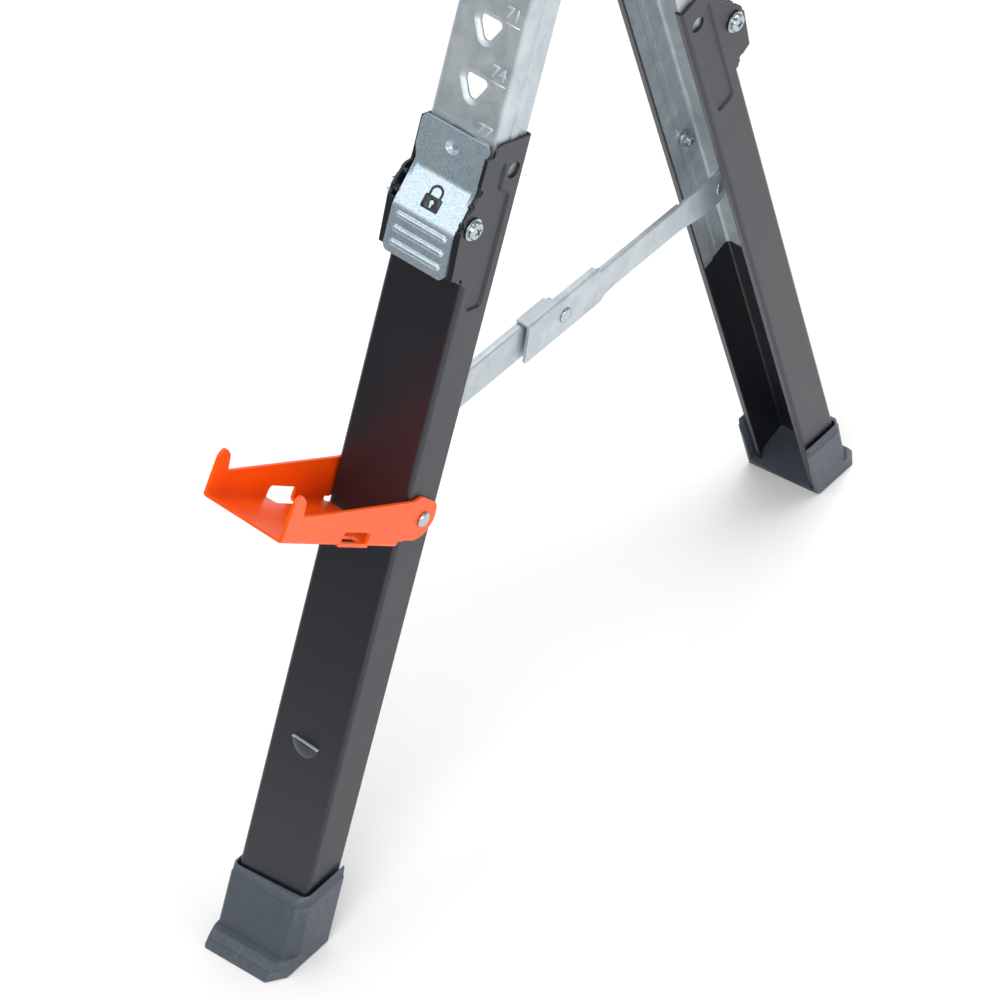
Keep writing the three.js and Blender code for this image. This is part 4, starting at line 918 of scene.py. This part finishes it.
for sx, E in ((-1, "w"), (1, "e")):
    FM = frame_matrix(sx)
    piece(f"spreader_front_bar_{E}", BF, FM, f"spreader_front_{E}", "galvanised", M["galvanised"], 0.25, [f"spreader_bar_front_{E}"])
    piece(f"spreader_back_bar_{E}", BB, FM, f"spreader_back_{E}", "galvanised", M["galvanised"], 0.25, [f"spreader_bar_back_{E}"])
    piece(f"spreader_mid_rivet_{E}", MR, FM, f"spreader_front_{E}", "bright_zinc", M["bright_zinc"], 0, [f"spreader_rivet_{E}"])
    for sy, N in ((-1, "s"), (1, "n")):
        L, K = E + N, leg_matrix(sx, sy)
        piece(f"inner_channel_{L}", INN[sy], K, f"leg_{L}", "galvanised", M["galvanised"], 0.22, [f"inner_leg_{L}"])
        # the raised numbers take the lightened zinc: a painted highlight on the digits
        piece(f"height_numbers_{L}", DG, K @ Matrix.Identity(4), f"leg_{L}", "galvanised", M["zinc_highlight"], 0)
        piece(f"guide_nut_{L}", GB, K, f"leg_{L}", "bright_zinc", M["bright_zinc"], 0.25, [f"guide_bolt_{L}"])
        piece(f"hinge_screw_{L}", HB, K, f"leg_{L}", "bright_zinc", M["bright_zinc"], 0.25, [f"hinge_bolt_{L}"])
        piece(f"spreader_pivot_{L}", PIV[sy], K, f"leg_{L}", "bright_zinc", M["bright_zinc"], 0, [f"spreader_pin_{L}"])
        piece(f"sleeve_channel_{L}", SLB if sy < 0 else SL, K, f"slider_{L}", "black_paint", M["black_paint"], 0.28, [f"sleeve_{L}"])
        piece(f"half_moon_{L}", DM, K, f"slider_{L}", "black_paint", M["gloss"], 0.12)
        # bright strip on the half-moon's top edge, in the lightened zinc: a painted highlight
        piece(f"half_moon_highlight_strip_{L}", DOME_HL_STRIP, K, f"slider_{L}", "galvanised", M["zinc_highlight"], 0.15)
        piece(f"lever_screw_{L}", LB, K, f"slider_{L}", "bright_zinc", M["bright_zinc"], 0.18, [f"lever_bolt_{L}"])
        piece(f"lever_coil_{L}", SP, K, f"slider_{L}", "bright_zinc", M["bright_zinc"], 0, [f"lever_spring_{L}"])
        piece(f"rubber_foot_{L}", FT, floor_matrix(sx, sy), f"slider_{L}", "slate_plastic", M["slate_plastic"], 0.45, [f"foot_{L}"], 3, 20)
        piece(f"lock_lever_{L}", LV, K, f"lever_{L}", "zinc_plate", M["zinc_plate"], 0.3, [f"cam_lever_{L}"])
        piece(f"lock_mark_{L}", LM, K, f"lever_{L}", "black_paint", M["ink"], 0)
        if sy < 0:
            piece(f"swing_bracket_{E}", BK, K, f"bracket_{E}", "orange_paint", M["orange_paint"], 0.35, [f"board_bracket_{E}"])
            piece(f"bracket_stud_in_{E}", BKI, K, f"slider_{L}", "bright_zinc", M["bright_zinc"], 0.2, [f"bracket_rivet_{E}_in"])
            piece(f"bracket_stud_out_{E}", BKO, K, f"slider_{L}", "bright_zinc", M["bright_zinc"], 0.2, [f"bracket_rivet_{E}_out"])

# carried-over CAD nodes: softened edges and their finish
slots = {s["node"]: s.get("material_slot") for s in frame["record"]["subparts"]}
for name, o in frame["nodes"].items():
    if o.hide_render:
        continue
    o.data.materials.clear()
    o.data.materials.append(M[slots.get(name, "black_paint")])
    for p in o.data.polygons:
        p.use_smooth = True
    d = o.modifiers.new("flat", "DECIMATE")
    d.decimate_type = "DISSOLVE"
    d.angle_limit = rad(1)
    m = o.modifiers.new("edge", "BEVEL")
    m.width = 0.0006
    m.segments = 3
    m.limit_method = "ANGLE"
    m.angle_limit = rad(34)
    w = o.modifiers.new("normals", "WEIGHTED_NORMAL")
    w.keep_sharp = True
    w.weight = 100

# ---------------------------------------------------------------- floor, light, camera
def white_floor():
    n = Nodes("pale_floor")
    g = n.noise(3, 4, 0.5)
    n.set(Base_Color=n.ramp(g, [(0.3, (0.90, 0.90, 0.90)), (0.7, (0.92, 0.92, 0.92))]), Roughness=0.9)
    n.set(Specular_IOR_Level=0.1)
    return n.m


bm = bmesh.new()
R0 = 12.0
bm.faces.new([bm.verts.new((x, y, 0)) for x, y in ((-R0, -R0), (R0, -R0), (R0, R0), (-R0, R0))])
fl = bpy.data.objects.new("floor", to_mesh(bm))
fl.data.materials.append(white_floor())
bpy.context.scene.collection.objects.link(fl)
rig.stage(fl)

world = bpy.data.worlds.new("studio")
bpy.context.scene.world = world
world.use_nodes = True
bg = world.node_tree.nodes["Background"]
bg.inputs["Color"].default_value = (1.0, 1.0, 1.0, 1)
bg.inputs["Strength"].default_value = 0.42


def area(name, loc, target, size, power, color=(1, 1, 1), size_y=None):
    l = bpy.data.lights.new(name, "AREA")
    l.energy = power
    l.color = color
    l.size = size
    if size_y:
        l.shape = "RECTANGLE"
        l.size_y = size_y
    o = bpy.data.objects.new(name, l)
    bpy.context.scene.collection.objects.link(o)
    o.location = loc
    o.rotation_euler = (Vector(target) - Vector(loc)).to_track_quat("-Z", "Y").to_euler()
    return o


area("key_right", (2.3, -0.1, 0.8), (-0.45, 0, 0.30), 1.3, 24, (1, 0.995, 0.985), 1.0)
area("top_soft", (-0.3, 0.9, 3.0), (-0.45, 0, 0.2), 2.6, 68)
area("slope_light", (-1.05, -1.25, 1.55), (-0.45, -0.15, 0.42), 0.8, 4)
area("front_fill", (0.6, -2.5, 2.1), (-0.45, 0, 0.35), 2.0, 60)

# low shading flag out of view, front left: what the webs of the front legs mirror
card = bpy.data.objects.new("shade_card", loft([[(x, -0.64 - (0.001 if k else 0), z) for x, z in ((-1.30, 0.025), (-0.36, 0.025), (-0.36, 0.62), (-1.30, 0.62))] for k in (0, 1)]))
card.visible_camera = False
card.visible_shadow = False
dk = Nodes("shade_card")
dk.set(Base_Color=dk.ramp(dk.noise(6, 3, 0.5), [(0.3, (0.030, 0.030, 0.034)), (0.7, (0.040, 0.040, 0.045))]), Roughness=0.9)
dk.set(Specular_IOR_Level=0.1)
card.data.materials.append(dk.m)
bpy.context.scene.collection.objects.link(card)
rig.stage(card)

cam = bpy.data.cameras.new("camera")
cam.sensor_width = 36
cam.lens = 152.56
cam.clip_start = 0.05
co = bpy.data.objects.new("camera", cam)
bpy.context.scene.collection.objects.link(co)
right = Vector((0.76257554, 0.6406077, -0.09000179))
up = Vector((-0.36980527, 0.5458463, 0.75186161))
back = -Vector((-0.53077548, 0.54006814, -0.65314914))
mw = Matrix((right, up, back)).transposed().to_4x4()
mw.translation = Vector((0.7382, -1.3048, 1.7145))
co.matrix_world = mw
bpy.context.scene.camera = co

bpy.context.view_layer.update()
json.dump({"cad": CAD_BOX, "visual": [list(v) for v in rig.bounds()]}, open("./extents.json", "w"))
